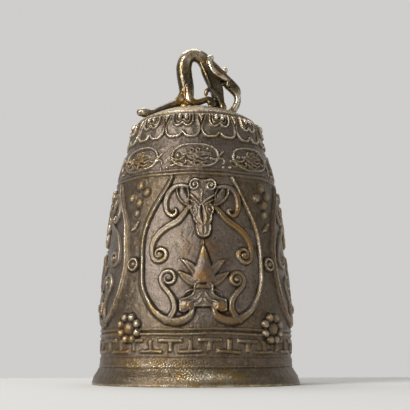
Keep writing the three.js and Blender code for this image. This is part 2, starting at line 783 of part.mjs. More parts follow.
add("bell_body", bellBody(), bronze);
add("dragon_handle", dragonHandle(), rubbedBronze);
sides.forEach((side, i) => {
  add("panel_frame_left_" + side, panelFrame(-1, panelTurns[i]), bronze);
  add("panel_frame_right_" + side, panelFrame(1, panelTurns[i]), bronze);
  add("beast_mask_" + side, beastMask(panelTurns[i]), bronze);
  add("lotus_" + side, lotus(panelTurns[i]), bronze);
});
corners.forEach((corner, i) => {
  add("rosette_" + corner, rosette(gapTurns[i]), bronze);
  add("boss_" + corner, rimmedBoss(gapTurns[i]), bronze);
});
for (let i = 0; i < cartoucheCount; i++) {
  const turn = (2 * Math.PI * i) / cartoucheCount + THREE.MathUtils.degToRad(cartoucheTurn);
  add("cartouche_" + (i + 1), cartouche(turn), bronze);
}
add("petal_collar", petalCollar(), bronze);
tenonSpots.forEach((x, i) => add("tenon_rove_" + (i + 1), rove(x), bronze));
add("clapper_staple", clapperStaple(), iron);
add("clapper_shank", clapperShank(), iron);
add("clapper_bob", clapperBob(), bronze);
add("bob_pin", bobPin(), iron);

export default bell;
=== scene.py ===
# Round bronze bell with a dragon handle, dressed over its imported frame.
# Drawing sizes are in millimetres; meshes are written in metres.
import math
import bpy
import numpy as np
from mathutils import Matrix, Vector


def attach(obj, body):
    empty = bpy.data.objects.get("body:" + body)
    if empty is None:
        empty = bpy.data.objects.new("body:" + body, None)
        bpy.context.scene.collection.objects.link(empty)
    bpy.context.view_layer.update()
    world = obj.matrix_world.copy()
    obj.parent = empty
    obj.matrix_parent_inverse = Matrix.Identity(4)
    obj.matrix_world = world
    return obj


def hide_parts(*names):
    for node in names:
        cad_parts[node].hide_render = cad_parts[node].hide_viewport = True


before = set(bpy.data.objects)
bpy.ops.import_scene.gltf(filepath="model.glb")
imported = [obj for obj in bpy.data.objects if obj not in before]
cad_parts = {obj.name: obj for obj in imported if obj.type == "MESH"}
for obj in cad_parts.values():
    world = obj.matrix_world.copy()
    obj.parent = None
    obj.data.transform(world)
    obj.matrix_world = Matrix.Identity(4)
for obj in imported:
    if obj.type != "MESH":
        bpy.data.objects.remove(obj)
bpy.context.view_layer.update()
metre = 0.001
quarter = math.pi / 2
print("frame loaded")


view = {
    "distance": 730.0,  # mm from the bell's axis
    "height": 22.0,  # mm above the table
    "around": -4.1,  # degrees round the bell from its front panel
    "aside": 0.562,  # degrees the camera looks past the axis
    "tilt": 9.479,  # degrees it looks up
    "lens": 79.41,  # mm on a 36 mm sensor
}


def placeCamera(v):
    # The camera stands on a circle round the axis, looks back at it, then turns aside and tilts up
    around = math.radians(v["around"])
    data = bpy.data.cameras.new("photoCamera")
    data.lens = v["lens"]
    data.sensor_width = 36.0
    data.clip_start = 0.01
    data.clip_end = 30.0
    camera = bpy.data.objects.new("photoCamera", data)
    camera.location = (
        v["distance"] * math.sin(around) * metre,
        -v["distance"] * math.cos(around) * metre,
        v["height"] * metre,
    )
    camera.rotation_euler = (math.radians(90 + v["tilt"]), 0, around - math.radians(v["aside"]))
    bpy.context.scene.collection.objects.link(camera)
    bpy.context.scene.camera = camera


placeCamera(view)


def toLinear(hexColour):
    # sRGB to linear: a straight foot below 0.04045 and a 2.4 power above it
    parts = [int(hexColour[i : i + 2], 16) / 255 for i in (1, 3, 5)]
    linear = [p / 12.92 if p <= 0.04045 else ((p + 0.055) / 1.055) ** 2.4 for p in parts]
    return (*linear, 1.0)


def addNode(tree, kind, settings=None, links=None):
    # Adds a node, sets its fields and sockets, and links its inputs
    node = tree.nodes.new(kind)
    for name, value in (settings or {}).items():
        if isinstance(name, str) and hasattr(node, name):
            setattr(node, name, value)
        else:
            node.inputs[name].default_value = value
    for socket, source in (links or {}).items():
        tree.links.new(source, node.inputs[socket])
    return node


def newMaterial(name):
    # An empty node material and its tree
    material = bpy.data.materials.new(name)
    material.use_nodes = True
    material.node_tree.nodes.clear()
    return material, material.node_tree


studio = {
    "floor": "#e2e0dc",
    "backdrop": "#e4e3e1",
    "tableBehind": 0.217,  # metres from the axis to the table's far edge
    "tableAside": 1.4,  # metres to its left and right edges
    "tableBefore": 1.2,  # metres to its near edge
    "backdropBehind": 3.0,  # metres from the axis to the backdrop
    "roomLevel": 0.30,  # even light from all round, where 1 is white
    "backdropLevel": 0.8,  # how bright the backdrop looks
    # name, place in metres, width and height in metres, watts
    "softboxes": (
        ("keySoftbox", (-1.58, -1.5, 0.95), (0.72, 1.45), 50.0),
        ("fillSoftbox", (0.95, -0.75, 0.35), (0.7, 0.7), 1.1),
        ("topSoftbox", (-0.1, 0.25, 0.95), (0.6, 0.6), 3.6),
    ),
}


def stagePaint(name, colour, seenLevel=None):
    # Matt paint. Where a level is given, the camera, gloss and glass see the paint at that plain level
    material, tree = newMaterial(name)
    paint = addNode(tree, "ShaderNodeBsdfDiffuse", {"Color": toLinear(colour)})
    surface = paint.outputs[0]
    if seenLevel:
        rays = addNode(tree, "ShaderNodeLightPath")
        gloss = addNode(tree, "ShaderNodeMath", {"operation": "MAXIMUM"},
                        {0: rays.outputs["Is Camera Ray"], 1: rays.outputs["Is Glossy Ray"]})
        seen = addNode(tree, "ShaderNodeMath", {"operation": "MAXIMUM"},
                       {0: gloss.outputs[0], 1: rays.outputs["Is Transmission Ray"]})
        plain = addNode(tree, "ShaderNodeEmission", {"Color": toLinear(colour), "Strength": seenLevel})
        surface = addNode(tree, "ShaderNodeMixShader", None,
                          {0: seen.outputs[0], 1: surface, 2: plain.outputs[0]}).outputs[0]
    addNode(tree, "ShaderNodeOutputMaterial", None, {"Surface": surface})
    return material


def stagePlane(name, points, paint):
    # One flat sheet of the studio, with its four corners in metres
    mesh = bpy.data.meshes.new(name)
    mesh.from_pydata(points, [], [(0, 1, 2, 3)])
    plane = bpy.data.objects.new(name, mesh)
    plane.data.materials.append(paint)
    bpy.context.scene.collection.objects.link(plane)


def softLamp(name, place, size, watts, aim=(0, 0, 0.13)):
    # A softbox that faces the point it is aimed at
    data = bpy.data.lights.new(name, "AREA")
    data.shape = "RECTANGLE"
    data.size, data.size_y = size
    data.energy = watts
    lamp = bpy.data.objects.new(name, data)
    lamp.location = place
    away = lamp.location - Vector(aim)
    lamp.rotation_euler = away.to_track_quat("Z", "Y").to_euler()
    bpy.context.scene.collection.objects.link(lamp)


def setStage(s):
    # A pale table that ends behind the bell, a pale backdrop beyond it, even room light and three softboxes
    aside, near, far, wall = s["tableAside"], -s["tableBefore"], s["tableBehind"], s["backdropBehind"]
    stagePlane("tableTop", [(-aside, near, 0), (aside, near, 0), (aside, far, 0), (-aside, far, 0)],
               stagePaint("tablePaint", s["floor"]))
    stagePlane("backdrop", [(-6, wall, -3), (6, wall, -3), (6, wall, 5), (-6, wall, 5)],
               stagePaint("backdropPaint", s["backdrop"], s["backdropLevel"]))
    world = bpy.data.worlds.new("studioAir")
    bpy.context.scene.world = world
    world.use_nodes = True
    tree = world.node_tree
    tree.nodes.clear()
    room = addNode(tree, "ShaderNodeBackground", {"Color": toLinear("#ffffff"), "Strength": s["roomLevel"]})
    addNode(tree, "ShaderNodeOutputWorld", None, {"Surface": room.outputs[0]})
    for softbox in s["softboxes"]:
        softLamp(*softbox)
    bpy.context.scene.view_settings.view_transform = "Standard"


setStage(studio)
print("camera, table and light set")


bell = {
    "mouthRadius": 82.0,
    "skirtRadius": 75.9,  # the plain band over the flare
    "ground": 75.0,  # radius of the wall's foot
    "wallFoot": 43.0,  # height at which the long wall starts
    "bulge": 1.6,  # how far the wall swells out of a straight line
    "shoulder": 154.0,  # height at which the long wall ends
    "shoulderRadius": 64.4,
    "ceiling": 215.4,  # height of the hollow's flat top
    "columns": 288,  # grid columns in a quarter of the bell
    "step": 0.42,  # mm between the rows of fine relief
}


def smoothLine(points, count):
    # Centripetal spline through the points, read at even steps of its own length
    p = np.asarray(points, float)
    p = np.vstack([2 * p[0] - p[1], p, 2 * p[-1] - p[-2]])
    gaps = np.maximum(np.linalg.norm(np.diff(p, axis=0), axis=1), 1e-9)
    knots = np.concatenate([[0], np.cumsum(gaps ** 0.5)])
    fine = np.linspace(knots[1], knots[-2], max(count * 4, 64))
    k = np.clip(np.searchsorted(knots, fine, side="right") - 1, 1, len(p) - 3)

    def blendPair(a, b, ta, tb):
        w = ((fine - ta) / (tb - ta))[:, None]
        return a * (1 - w) + b * w

    t0, t1, t2, t3 = knots[k - 1], knots[k], knots[k + 1], knots[k + 2]
    a1 = blendPair(p[k - 1], p[k], t0, t1)
    a2 = blendPair(p[k], p[k + 1], t1, t2)
    a3 = blendPair(p[k + 1], p[k + 2], t2, t3)
    line = blendPair(blendPair(a1, a2, t0, t2), blendPair(a2, a3, t1, t3), t1, t2)
    length = np.concatenate([[0], np.cumsum(np.linalg.norm(np.diff(line, axis=0), axis=1))])
    even = np.linspace(0, length[-1], count)
    return np.stack([np.interp(even, length, line[:, i]) for i in range(line.shape[1])], 1)


def bellyRadius(height):
    # Straight batter from the foot to the shoulder, plus a soft belly that is fullest low down
    share = np.clip((height - bell["wallFoot"]) / (bell["shoulder"] - bell["wallFoot"]), 0, 1)
    batter = bell["ground"] + (bell["shoulderRadius"] - bell["ground"]) * share
    return batter + bell["bulge"] * np.sin(np.pi * share ** 0.7)


def outsideLine():
    # (radius, height) rows from the rim up to the axis, in five runs at their own row spacing
    m, g = bell["mouthRadius"], bell["skirtRadius"]
    step = bell["step"]
    lip = [(m - 0.6, 0), (m - 0.15, 0.25), (m, 0.8), (m, 1.9), (m - 0.35, 2.9), (m - 1, 4.8),
           (m - 1.6, 6.6), (m - 2.9, 8.8), (m - 4.3, 11), (g + 0.8, 12.8), (g + 0.2, 13.4), (g - 0.4, 13.8),
           (g - 0.1, 14.4), (g, 14.8)]
    lip = smoothLine(lip, 38)
    band = smoothLine([(g, 15.1), (g, 17.5), (g, 20.2), (g - 0.35, 20.75), (g - 0.9, 21)], 16)
    low = np.arange(21.4, bell["shoulder"], step)
    low = np.stack([bellyRadius(low), low], 1)
    dome = smoothLine([(64.4, 154), (63.1, 162), (61.1, 170.4), (58.9, 178.1), (56, 186.7),
                       (54.1, 193), (52.3, 199.9), (49.7, 206.8), (46.6, 210.9)], int(60 / step))
    crown = smoothLine([(46.2, 211.3), (43.5, 213), (40, 214.7), (34.5, 217.3), (26.5, 220.6),
                        (17, 222.7), (8, 223.8), (0.5, 224)], 76)
    return np.vstack([lip, band, low, dome, crown])


def insideRadius(height):
    # The inner wall is the outer one less the wall's thickness
    return np.interp(height, [0, 21, 43, 93, 154, 188, 205, 215],
                     [76.4, 70.4, 70.4, 67.2, 59.8, 50.9, 41.4, 29.0])


outerLine = outsideLine()
rowRadius, rowHeight = outerLine[:, 0], outerLine[:, 1]
columnCount = bell["columns"]
cellCount = columnCount * 4
columnAngle = (np.arange(columnCount) + 0.5) / columnCount * quarter - quarter / 2
panelRadius = 70.0  # mm, where widths across a panel are measured
bandRadius = 58.0  # mm, where widths on the shoulder and the petals are measured
rowLevel = rowHeight[:, None]
panelAcross = columnAngle * panelRadius
print("outside line has", len(outerLine), "rows")


def rise(x):
    # Smooth step from 0 to 1
    x = np.clip(x, 0, 1)
    return x * x * (3 - 2 * x)


def blank():
    # An empty drawing of one quarter of the bell, rows up and columns across
    return np.zeros((len(outerLine), columnCount))


def repeatAcross(pitch, turn=0.0, radius=panelRadius):
    # Arc length in mm from the nearest copy of a motif that stands every pitch degrees
    degrees = np.degrees(columnAngle) - turn
    return ((degrees + pitch / 2) % pitch - pitch / 2) * math.pi / 180 * radius


def strokeDepth(across, height, points, widths):
    # For each grid point, how deep it lies inside a stroke of changing width (below 0 outside it), and the
    # stroke's half width there
    p = np.asarray(points, float)
    half = np.asarray(widths, float) / 2
    a, b = p[:-1], p[1:]
    d = b - a
    gx, gz = across[None, :, None], height[:, None, None]
    t = ((gx - a[:, 0]) * d[:, 0] + (gz - a[:, 1]) * d[:, 1]) / np.maximum((d ** 2).sum(1), 1e-9)
    t = np.clip(t, 0, 1)
    away = np.hypot(gx - a[:, 0] - t * d[:, 0], gz - a[:, 1] - t * d[:, 1])
    wide = half[:-1] + t * (half[1:] - half[:-1])
    deep = wide - away
    best = deep.argmax(2)[..., None]
    return np.take_along_axis(deep, best, 2)[..., 0], np.take_along_axis(wide, best, 2)[..., 0]


def roundCrest(high):
    # Half-round section
    return lambda deep, half: high * np.sqrt(np.clip(1 - (1 - deep / np.maximum(half, 0.05)) ** 2, 0, 1))


def dishedRibbon(high, dish):
    # Ribbon with rounded shoulders and a shallow valley along its middle
    def section(deep, half):
        share = np.clip(deep / np.maximum(half, 0.05), 0, 1)
        back = high * (1 - (1 - share) ** 2.6) ** 0.6
        return back - dish * rise((share - 0.35) / 0.45) * rise((half - 0.8) / 0.9)
    return section


def flatTop(high, shoulder=0.7):
    # Flat section whose edge rises over the shoulder's width
    return lambda deep, half: high * rise(deep / shoulder)


def stamp(relief, across, points, widths, section, count=60):
    # Draws one stroke into the relief where it is higher than what is there
    p = smoothLine(points, count)
    w = np.interp(np.linspace(0, 1, count), np.linspace(0, 1, len(widths)), widths)
    reach = max(widths) / 2 + 1
    rows = np.flatnonzero((rowHeight > p[:, 1].min() - reach) & (rowHeight < p[:, 1].max() + reach))
    cols = np.flatnonzero((across > p[:, 0].min() - reach) & (across < p[:, 0].max() + reach))
    if not len(rows) or not len(cols):
        return
    deep, half = strokeDepth(across[cols], rowHeight[rows], p, w)
    high = np.where(deep > 0, section(deep, half), 0)
    place = np.ix_(rows, cols)
    relief[place] = np.maximum(relief[place], high)


def drawStrokes(relief, across, strokes, full):
    # Round strokes from a table of points, widths, and rise as a share of the full one
    for points, widths, share in strokes:
        stamp(relief, across, points, widths, roundCrest(full * share))


def spiral(centre, start, end, degrees, turns, count=40):
    # Points that wind inwards from one radius to another
    t = np.linspace(0, 1, count)
    angle = np.radians(degrees) + 2 * np.pi * turns * t
    radius = start + (end - start) * t
    return np.stack([centre[0] + radius * np.cos(angle), centre[1] + radius * np.sin(angle)], 1)


def knob(relief, across, centre, radius, high, squeeze=1.0):
    # A round ball sunk in the wall
    beside = (across[None, :] - centre[0]) / radius
    above = (rowLevel - centre[1]) / (radius * squeeze)
    off = beside ** 2 + above ** 2
    relief[:] = np.maximum(relief, high * np.sqrt(np.clip(1 - off, 0, 1)))


def bothSides(relief):
    # The drawing is made on the right half and mirrored
    return np.maximum(relief, relief[:, ::-1])


def between(low, high, edge):
    # How deep each point lies between two heights, as 0 at the rim and 1 from edge mm inwards
    return np.clip(np.minimum(rowLevel - low, high - rowLevel) / edge, 0, 1)


panel = {
    # mm that each stands proud of the wall
    "frame": 2.4,
    "railBack": 1.5,  # the rail's outer side, below its sharp inner edge
    "scroll": 2.2,
    "mask": 4.0,
    "lotus": 2.6,
    "dish": 0.5,  # mm that a ribbon's middle lies below its edges
    # mm to the right of the panel's middle and above the rim
    "frameCurl": (24.4, 77.5),  # where the frame's scroll winds to
    "hangCurl": (31.3, 95.9),  # where the scroll that hangs from the mask winds to
    "horn": (6.4, 147.6),  # middle of the horn's coil
}


def drawFrames():
    # Rail with its crescent foot, and the scroll that grows from the foot
    relief = blank()
    u = panelAcross
    rail = [(26, 155.5), (28.5, 150), (34, 140), (39.5, 130), (43.5, 120), (46, 110), (47.3, 100),
            (47.4, 90), (46.6, 80), (44.3, 70), (39.2, 60), (33, 53), (26, 48.6), (20, 46.9), (13.6, 47.9),
            (8.8, 51), (5.6, 56.5)]
    widths = [4, 4.8, 5, 5, 5, 5, 5, 5, 5, 5, 5, 5, 5, 5.1, 5.3, 5.8, 6.4, 7.2, 7.8, 6.2, 0.6]
    stamp(relief, u, rail, widths, flatTop(panel["railBack"], 1.8), 90)
    path = smoothLine(rail, 90)
    ahead = np.gradient(path, axis=0)
    ahead /= np.linalg.norm(ahead, axis=1, keepdims=True)
    inner = path + np.stack([ahead[:, 1], -ahead[:, 0]], 1) * 1.35
    innerWidths = [1.8, 2.3, 2.3, 2.3, 2.3, 2.3, 2.4, 2.8, 3.6, 0.8]
    stamp(relief, u, inner, innerWidths, roundCrest(panel["frame"]), 90)
    stamp(relief, u, rail[-7:], [0.6, 3.2, 5, 6.4, 7, 5.6, 0.6], roundCrest(panel["frame"]), 40)
    stem = [(25, 46.8), (21.8, 50.4), (19.3, 56), (20.5, 62.5), (24.5, 68), (28.4, 72)]
    curl = np.vstack([stem, spiral(panel["frameCurl"], 6.2, 1.2, -42, 1.7)[1:]])
    stamp(relief, u, curl, [4.8, 4.4, 4.2, 4.2, 4, 3.6, 3.2, 3, 2.8, 2.6, 2.4, 2.2],
          dishedRibbon(panel["scroll"], panel["dish"]), 130)
    knob(relief, u, panel["frameCurl"], 1.8, panel["scroll"] * 1.2)
    return bothSides(relief)


def drawMask():
    # The horned beast's head, its folded ears and the scrolls that hang from its cheeks
    relief = blank()
    u, z = panelAcross, rowLevel
    across = np.abs(u)[None, :]
    m, s = panel["mask"], panel["scroll"]
    halfWidth = np.interp(z, [106.9, 107.8, 110.5, 114, 118, 124, 133, 141, 147.5, 151.4, 152.6],
                          [0.01, 2.8, 4.6, 5.3, 5.7, 7.2, 8.6, 9.6, 11, 9.2, 0.01])
    crown = np.interp(z, [107, 109, 112, 118, 126, 134, 142, 150, 153],
                      [1.2, 2.4, 3, 3.1, 2.9, 2.6, 2.3, 1.9, 1.1])
    face = crown * np.sqrt(np.clip(1 - (across / halfWidth) ** 2, 0, 1)) ** 0.7
    relief[:] = np.where((z > 106.9) & (z < 152.6) & (across < halfWidth), face, 0)
    grooves = (
        # points, widths and depth in mm
        ([(1.7, 146.4), (2.4, 141.6), (4.4, 139), (7.6, 141.8)], [1.8, 2.8, 2.8, 1.6], 1.5),  # horn
        ([(6, 132.6), (6, 129), (6, 125)], [1.4, 3.4, 1], 1.4),  # eye socket
        ([(0, 132), (0, 126), (0, 119)], [0.8, 1.8, 0.8], 1.2),  # along the nose
        ([(4.3, 124.6), (4.6, 121), (3.6, 118.2)], [1, 1.8, 1], 1.5),  # under the cheek
        ([(3, 115.4), (3.1, 113), (2.4, 110.4)], [0.9, 1.6, 0.9], 1.5),  # beside the tongue
    )
    carve = np.zeros_like(relief)
    drawStrokes(carve, u, grooves, 1)
    stamp(carve, u, [(0, 114.6), (0, 110.4)], [0.9, 0.9], roundCrest(1), 10)
    relief = np.maximum(relief - carve, relief * 0.2)
    ridges = (
        # points, widths and rise as a share of the mask's
        ([(0, 144.4), (0, 140.6), (0, 137), (0, 134.2)], [0.6, 2.2, 1.6, 0.6], 0.92),  # brow's drop
        ([(0, 150.6), (3.4, 151.7), (6.8, 151.9)], [1.5, 1.6, 1.2], 0.6),  # top edge
        ([(0.7, 133), (3.6, 135.8), (6.6, 138.2), (9.4, 140.4)], [1.8, 2.9, 2.8, 1.2], 0.92),  # upper brow
        ([(1.2, 130.4), (4.2, 133.4), (7.4, 135.6), (9.2, 136.6)], [1.2, 1.9, 1.8, 0.9], 0.86),  # lower brow
        ([(6.6, 133.2), (8.3, 130.6), (8, 127), (6.4, 124.6)], [1, 1.5, 1.5, 0.8], 0.82),  # outer lid
        ([(4.8, 132.4), (3.9, 129.6), (4.2, 126.6), (5.6, 124.6)], [0.9, 1.2, 1.3, 0.8], 0.88),  # inner lid
        ([(0.8, 132.2), (2.4, 127), (2.3, 121.6), (0.7, 117.2)], [1.2, 1.9, 1.8, 1], 0.95),  # nose
        ([(6.7, 124.6), (6.2, 121.6), (4.6, 118.8), (1.6, 116.4)], [1.3, 2.1, 1.9, 1], 0.84),  # cheek
        ([(5.3, 117), (4.9, 112.6), (3.4, 109.2), (0.6, 107.9)], [1.5, 1.9, 1.9, 1.3], 0.8),  # jaw
        ([(1.5, 116.2), (1.6, 113.4), (1.3, 110.6)], [1.2, 1.6, 1.1], 0.88),  # tongue
    )
    drawStrokes(relief, u, ridges, m)
    stamp(relief, u, spiral(panel["horn"], 4.4, 1.1, 118, -1.5), [2.6, 2.5, 2.3, 2, 1.7],
          roundCrest(m * 0.86), 70)
    knob(relief, u, panel["horn"], 1.3, m * 0.9)
    knob(relief, u, (5.9, 128.9), 1.3, m * 0.82, 1.5)
    relief = bothSides(relief)
    rib = panel["dish"]
    leaf = [(9.6, 133.6), (12.4, 136.6), (15.2, 140.4), (16.8, 144.2), (15.6, 147)]
    stamp(relief, u, leaf, [3.4, 5.6, 6.6, 5.4, 2.2], flatTop(s * 0.5, 1.6))
    ear = [(12, 146.6), (17.5, 147.6), (23.4, 146.2), (27.9, 141.2), (29.4, 134.2), (27.5, 127.7),
           (23.7, 125.1), (20.4, 127), (20.7, 129.7), (22.8, 129.4)]
    stamp(relief, u, ear, [2.4, 3, 3.6, 4.2, 4.6, 4.6, 4.2, 3.6, 3, 2.4, 1.9], dishedRibbon(s, rib), 80)
    stamp(relief, u, [(9.8, 132.9), (12.6, 133.4), (16.2, 135.8), (19.6, 140), (21, 144.8)],
          [1.8, 2.2, 2.2, 2, 1.2], roundCrest(s * 0.98))
    stamp(relief, u, [(10.4, 136.6), (10.6, 140.8), (12, 145.4)], [1.4, 1.6, 1.4], roundCrest(s * 0.8))
    hang = [(8.8, 132), (11.2, 130.2), (14, 127), (19, 121.5), (27, 116.5), (33.6, 110.4),
            (37.3, 102.6)]
    hang = np.vstack([hang, spiral(panel["hangCurl"], 6.5, 1.3, 20, -1.6)[1:]])
    stamp(relief, u, hang, [3.4, 4.8, 5.2, 5.2, 5, 4.6, 4, 3.6, 3.2, 3, 2.8, 2.4],
          dishedRibbon(s * 1.05, rib), 150)
    knob(relief, u, panel["hangCurl"], 1.9, s * 1.2)
    return bothSides(relief)


def drawLotus():
    # Bud with a faint spire, two leaves a side, cap, wings and the saddle with its two drooping lobes
    relief = blank()
    u, z = panelAcross, rowLevel
    across = np.abs(u)[None, :]
    h = panel["lotus"]
    leaves = (([(3, 79.5), (6.6, 83.8), (10.2, 87.6), (13.4, 90), (16.2, 91.4)],
               [4, 6.4, 6, 3.8, 0.5]),
              ([(4, 74.8), (8.4, 76.6), (12.6, 79), (15.8, 81.2), (18.6, 82.8)],
               [5, 8, 6.6, 3.6, 0.5]))
    for leaf, widths in leaves:
        stamp(relief, u, leaf, widths, dishedRibbon(h * 0.78, 0.7))
    halfWidth = np.interp(z, [70, 74, 76, 80, 85, 89, 94, 98, 100.5, 102],
                          [5.6, 7, 8.5, 7.9, 6.4, 5.2, 3.9, 2.6, 1.3, 0.01])
    bud = h * 1.15 * np.sqrt(np.clip(1 - (across / halfWidth) ** 2, 0, 1)) * rise((z - 74) / 2.5)
    relief = np.where((z > 74) & (z < 102), np.maximum(relief, bud), relief)
    stamp(relief, u, [(0, 72.3), (2.6, 72.3), (4.6, 71.6)], [4.6, 4.6, 3.4], flatTop(h * 0.75, 1.2))
    top = np.interp(across, [0, 4.6, 6.4, 9, 12, 15.5], [71, 70.6, 67, 64.6, 63.4, 62.9])
    foot = np.interp(across, [0, 4, 8, 12, 15, 15.5], [57, 57.4, 56.4, 53.4, 53.8, 54.4])
    saddle = h * 0.62 * rise(between(foot, top, 1.2)) * rise((15.9 - across) / 1.2)
    relief = np.maximum(relief, saddle)
    lobe = 1 - np.abs((across - 10.9) / 5) ** 3 - np.abs((z - 58.4) / 4.3) ** 3
    relief = np.maximum(relief, h * 1.3 * np.sqrt(np.clip(lobe, 0, 1)))
    ridges = (
        # points, widths and rise as a share of the lotus's
        ([(0, 96), (0, 100), (0, 106)], [0.8, 1.4, 0.4], 0.8),  # spire
        ([(0, 75.3), (3, 75.2), (5.3, 74), (6.1, 71.4), (5.8, 69.2)],
         [1.3, 1.3, 1.4, 1.3, 1.1], 1.1),  # cap's edge
        ([(5.8, 69.4), (7.2, 66.2), (10.4, 64), (15.3, 62.6)], [1.2, 1.4, 1.4, 1.2], 1),  # upper edge
        ([(4.9, 69.8), (8.6, 69.6), (12, 67.6), (13.2, 65.4)], [1.2, 1.3, 1.2, 0.7], 0.6),  # wing
        ([(15.2, 62.4), (15.4, 58), (15.1, 54.4)], [1.5, 1.8, 1.5], 1.05),  # saddle's side
        ([(0, 57.6), (4, 57.9), (8, 56.7), (12, 54), (15, 54.4)], [1.2, 1.3, 1.5, 1.5, 1.3], 0.95),  # foot
        ([(1.4, 67.6), (3.6, 63.8), (7, 61.4)], [0.9, 1.6, 1], 0.95),  # upper fold
        ([(0.6, 63.4), (2.6, 60.6), (5.6, 58.8)], [0.9, 1.6, 1], 0.95),  # lower fold
        ([(6.4, 61.8), (8.8, 60.6), (9.6, 57.8), (8.4, 55.4)], [1, 1.7, 1.7, 0.8], 1.5),  # round the lobe
    )
    drawStrokes(relief, u, ridges, h)
    return bothSides(relief)


gap = {
    # mm to the right of the gap's middle and above the rim, then the ball's radius
    "balls": (((0.4, 149.8), 3.9), ((7.8, 143.9), 3.6), ((-7.2, 141.0), 3.4), ((1.6, 136.2), 3.7),
              ((0.8, 128.2), 3.1)),
    "boss": 5.5,  # mm from its middle to its outside
    "bossAt": (0, 90),
    "rosette": 8.3,  # mm from its middle to the ring of balls
    "rosetteAt": (0, 42.2),
}


def drawBetween():
    # What stands between two panels: a string of balls, a drop, a rimmed boss and a rosette
    relief = blank()
    u = repeatAcross(90, 45)
    for centre, radius in gap["balls"]:
        knob(relief, u, centre, radius, 2.5)
        stamp(relief, u, spiral(centre, radius * 0.98, radius * 0.98, 0, 1, 24), [1, 1],
              roundCrest(0.7), 24)
    stamp(relief, u, [(-4, 115), (0, 117.4), (4.2, 121.8)], [1, 4.4, 1], dishedRibbon(1.9, 0.3))
    rim = gap["boss"] - 1.3
    stamp(relief, u, spiral(gap["bossAt"], rim, rim, 0, 1, 40), [2.6, 2.6], roundCrest(2.7))
    knob(relief, u, gap["bossAt"], rim - 1.2, 2.7)
    for i in range(8):
        a = math.pi / 4 * (i + 0.5)
        centre = (gap["rosette"] * math.cos(a), gap["rosetteAt"][1] + gap["rosette"] * math.sin(a))
        knob(relief, u, centre, 3.35, 3.6)
    knob(relief, u, gap["rosetteAt"], 5, 3.9)
    knob(relief, u, gap["rosetteAt"], 9, 1.7)
    return relief


rings = {
    # height, half width and rise of each ridge that runs right round
    "foot": ((14.5, 0.8, 0.55), (21.9, 0.7, 0.5), (35.6, 0.5, 0.35), (37.7, 1.25, 1.15), (41.2, 1.1, 1),
             (43.2, 0.5, 0.3)),
    "shoulder": ((154.9, 0.6, 0.4), (157.5, 1.2, 1.1), (160.6, 0.8, 0.7)),
    "crown": ((207, 0.6, 1.3), (210.3, 0.8, 1.1), (212.4, 0.4, 0.7), (214.4, 0.35, 0.6), (217.6, 0.3, 0.5)),
}


def drawRings():
    # Half-round ridges at the wall's foot, on the shoulder and at the crown's edge
    relief = blank()
    for height, half, high in rings["foot"] + rings["shoulder"] + rings["crown"]:
        ring = high * np.sqrt(np.clip(1 - ((rowHeight - height) / half) ** 2, 0, 1))
        relief = np.maximum(relief, ring[:, None])
    return relief


fret = {
    # turn in degrees, then bars as across, height, half width and half height
    "upright": (3.7, ((0, 33.1, 8.4, 1.45), (0, 28.4, 1.5, 3.3))),
    "inverted": (3.7 + 11.25, ((0, 25.1, 8.5, 1.25), (0, 29.9, 1.5, 3.8))),
    "proud": 1.15,
}


def drawFret():
    # Key fret of upright and inverted T bars, sixteen of each
    relief = blank()
    z = rowLevel
    for turn, bars in (fret["upright"], fret["inverted"]):
        u = repeatAcross(22.5, turn)[None, :]
        for x, mid, halfWide, halfHigh in bars:
            deep = np.minimum(halfWide - np.abs(u - x), halfHigh - np.abs(z - mid))
            relief = np.maximum(relief, fret["proud"] * rise(deep / 0.7 + 0.35))
    return relief


cartouche = {
    "turn": -4.9,  # degrees against the panel's middle
    "halfWide": 16.9,  # mm
    "halfHigh": 9.4,
    "middle": 171.9,
    "proud": 1.4,
}


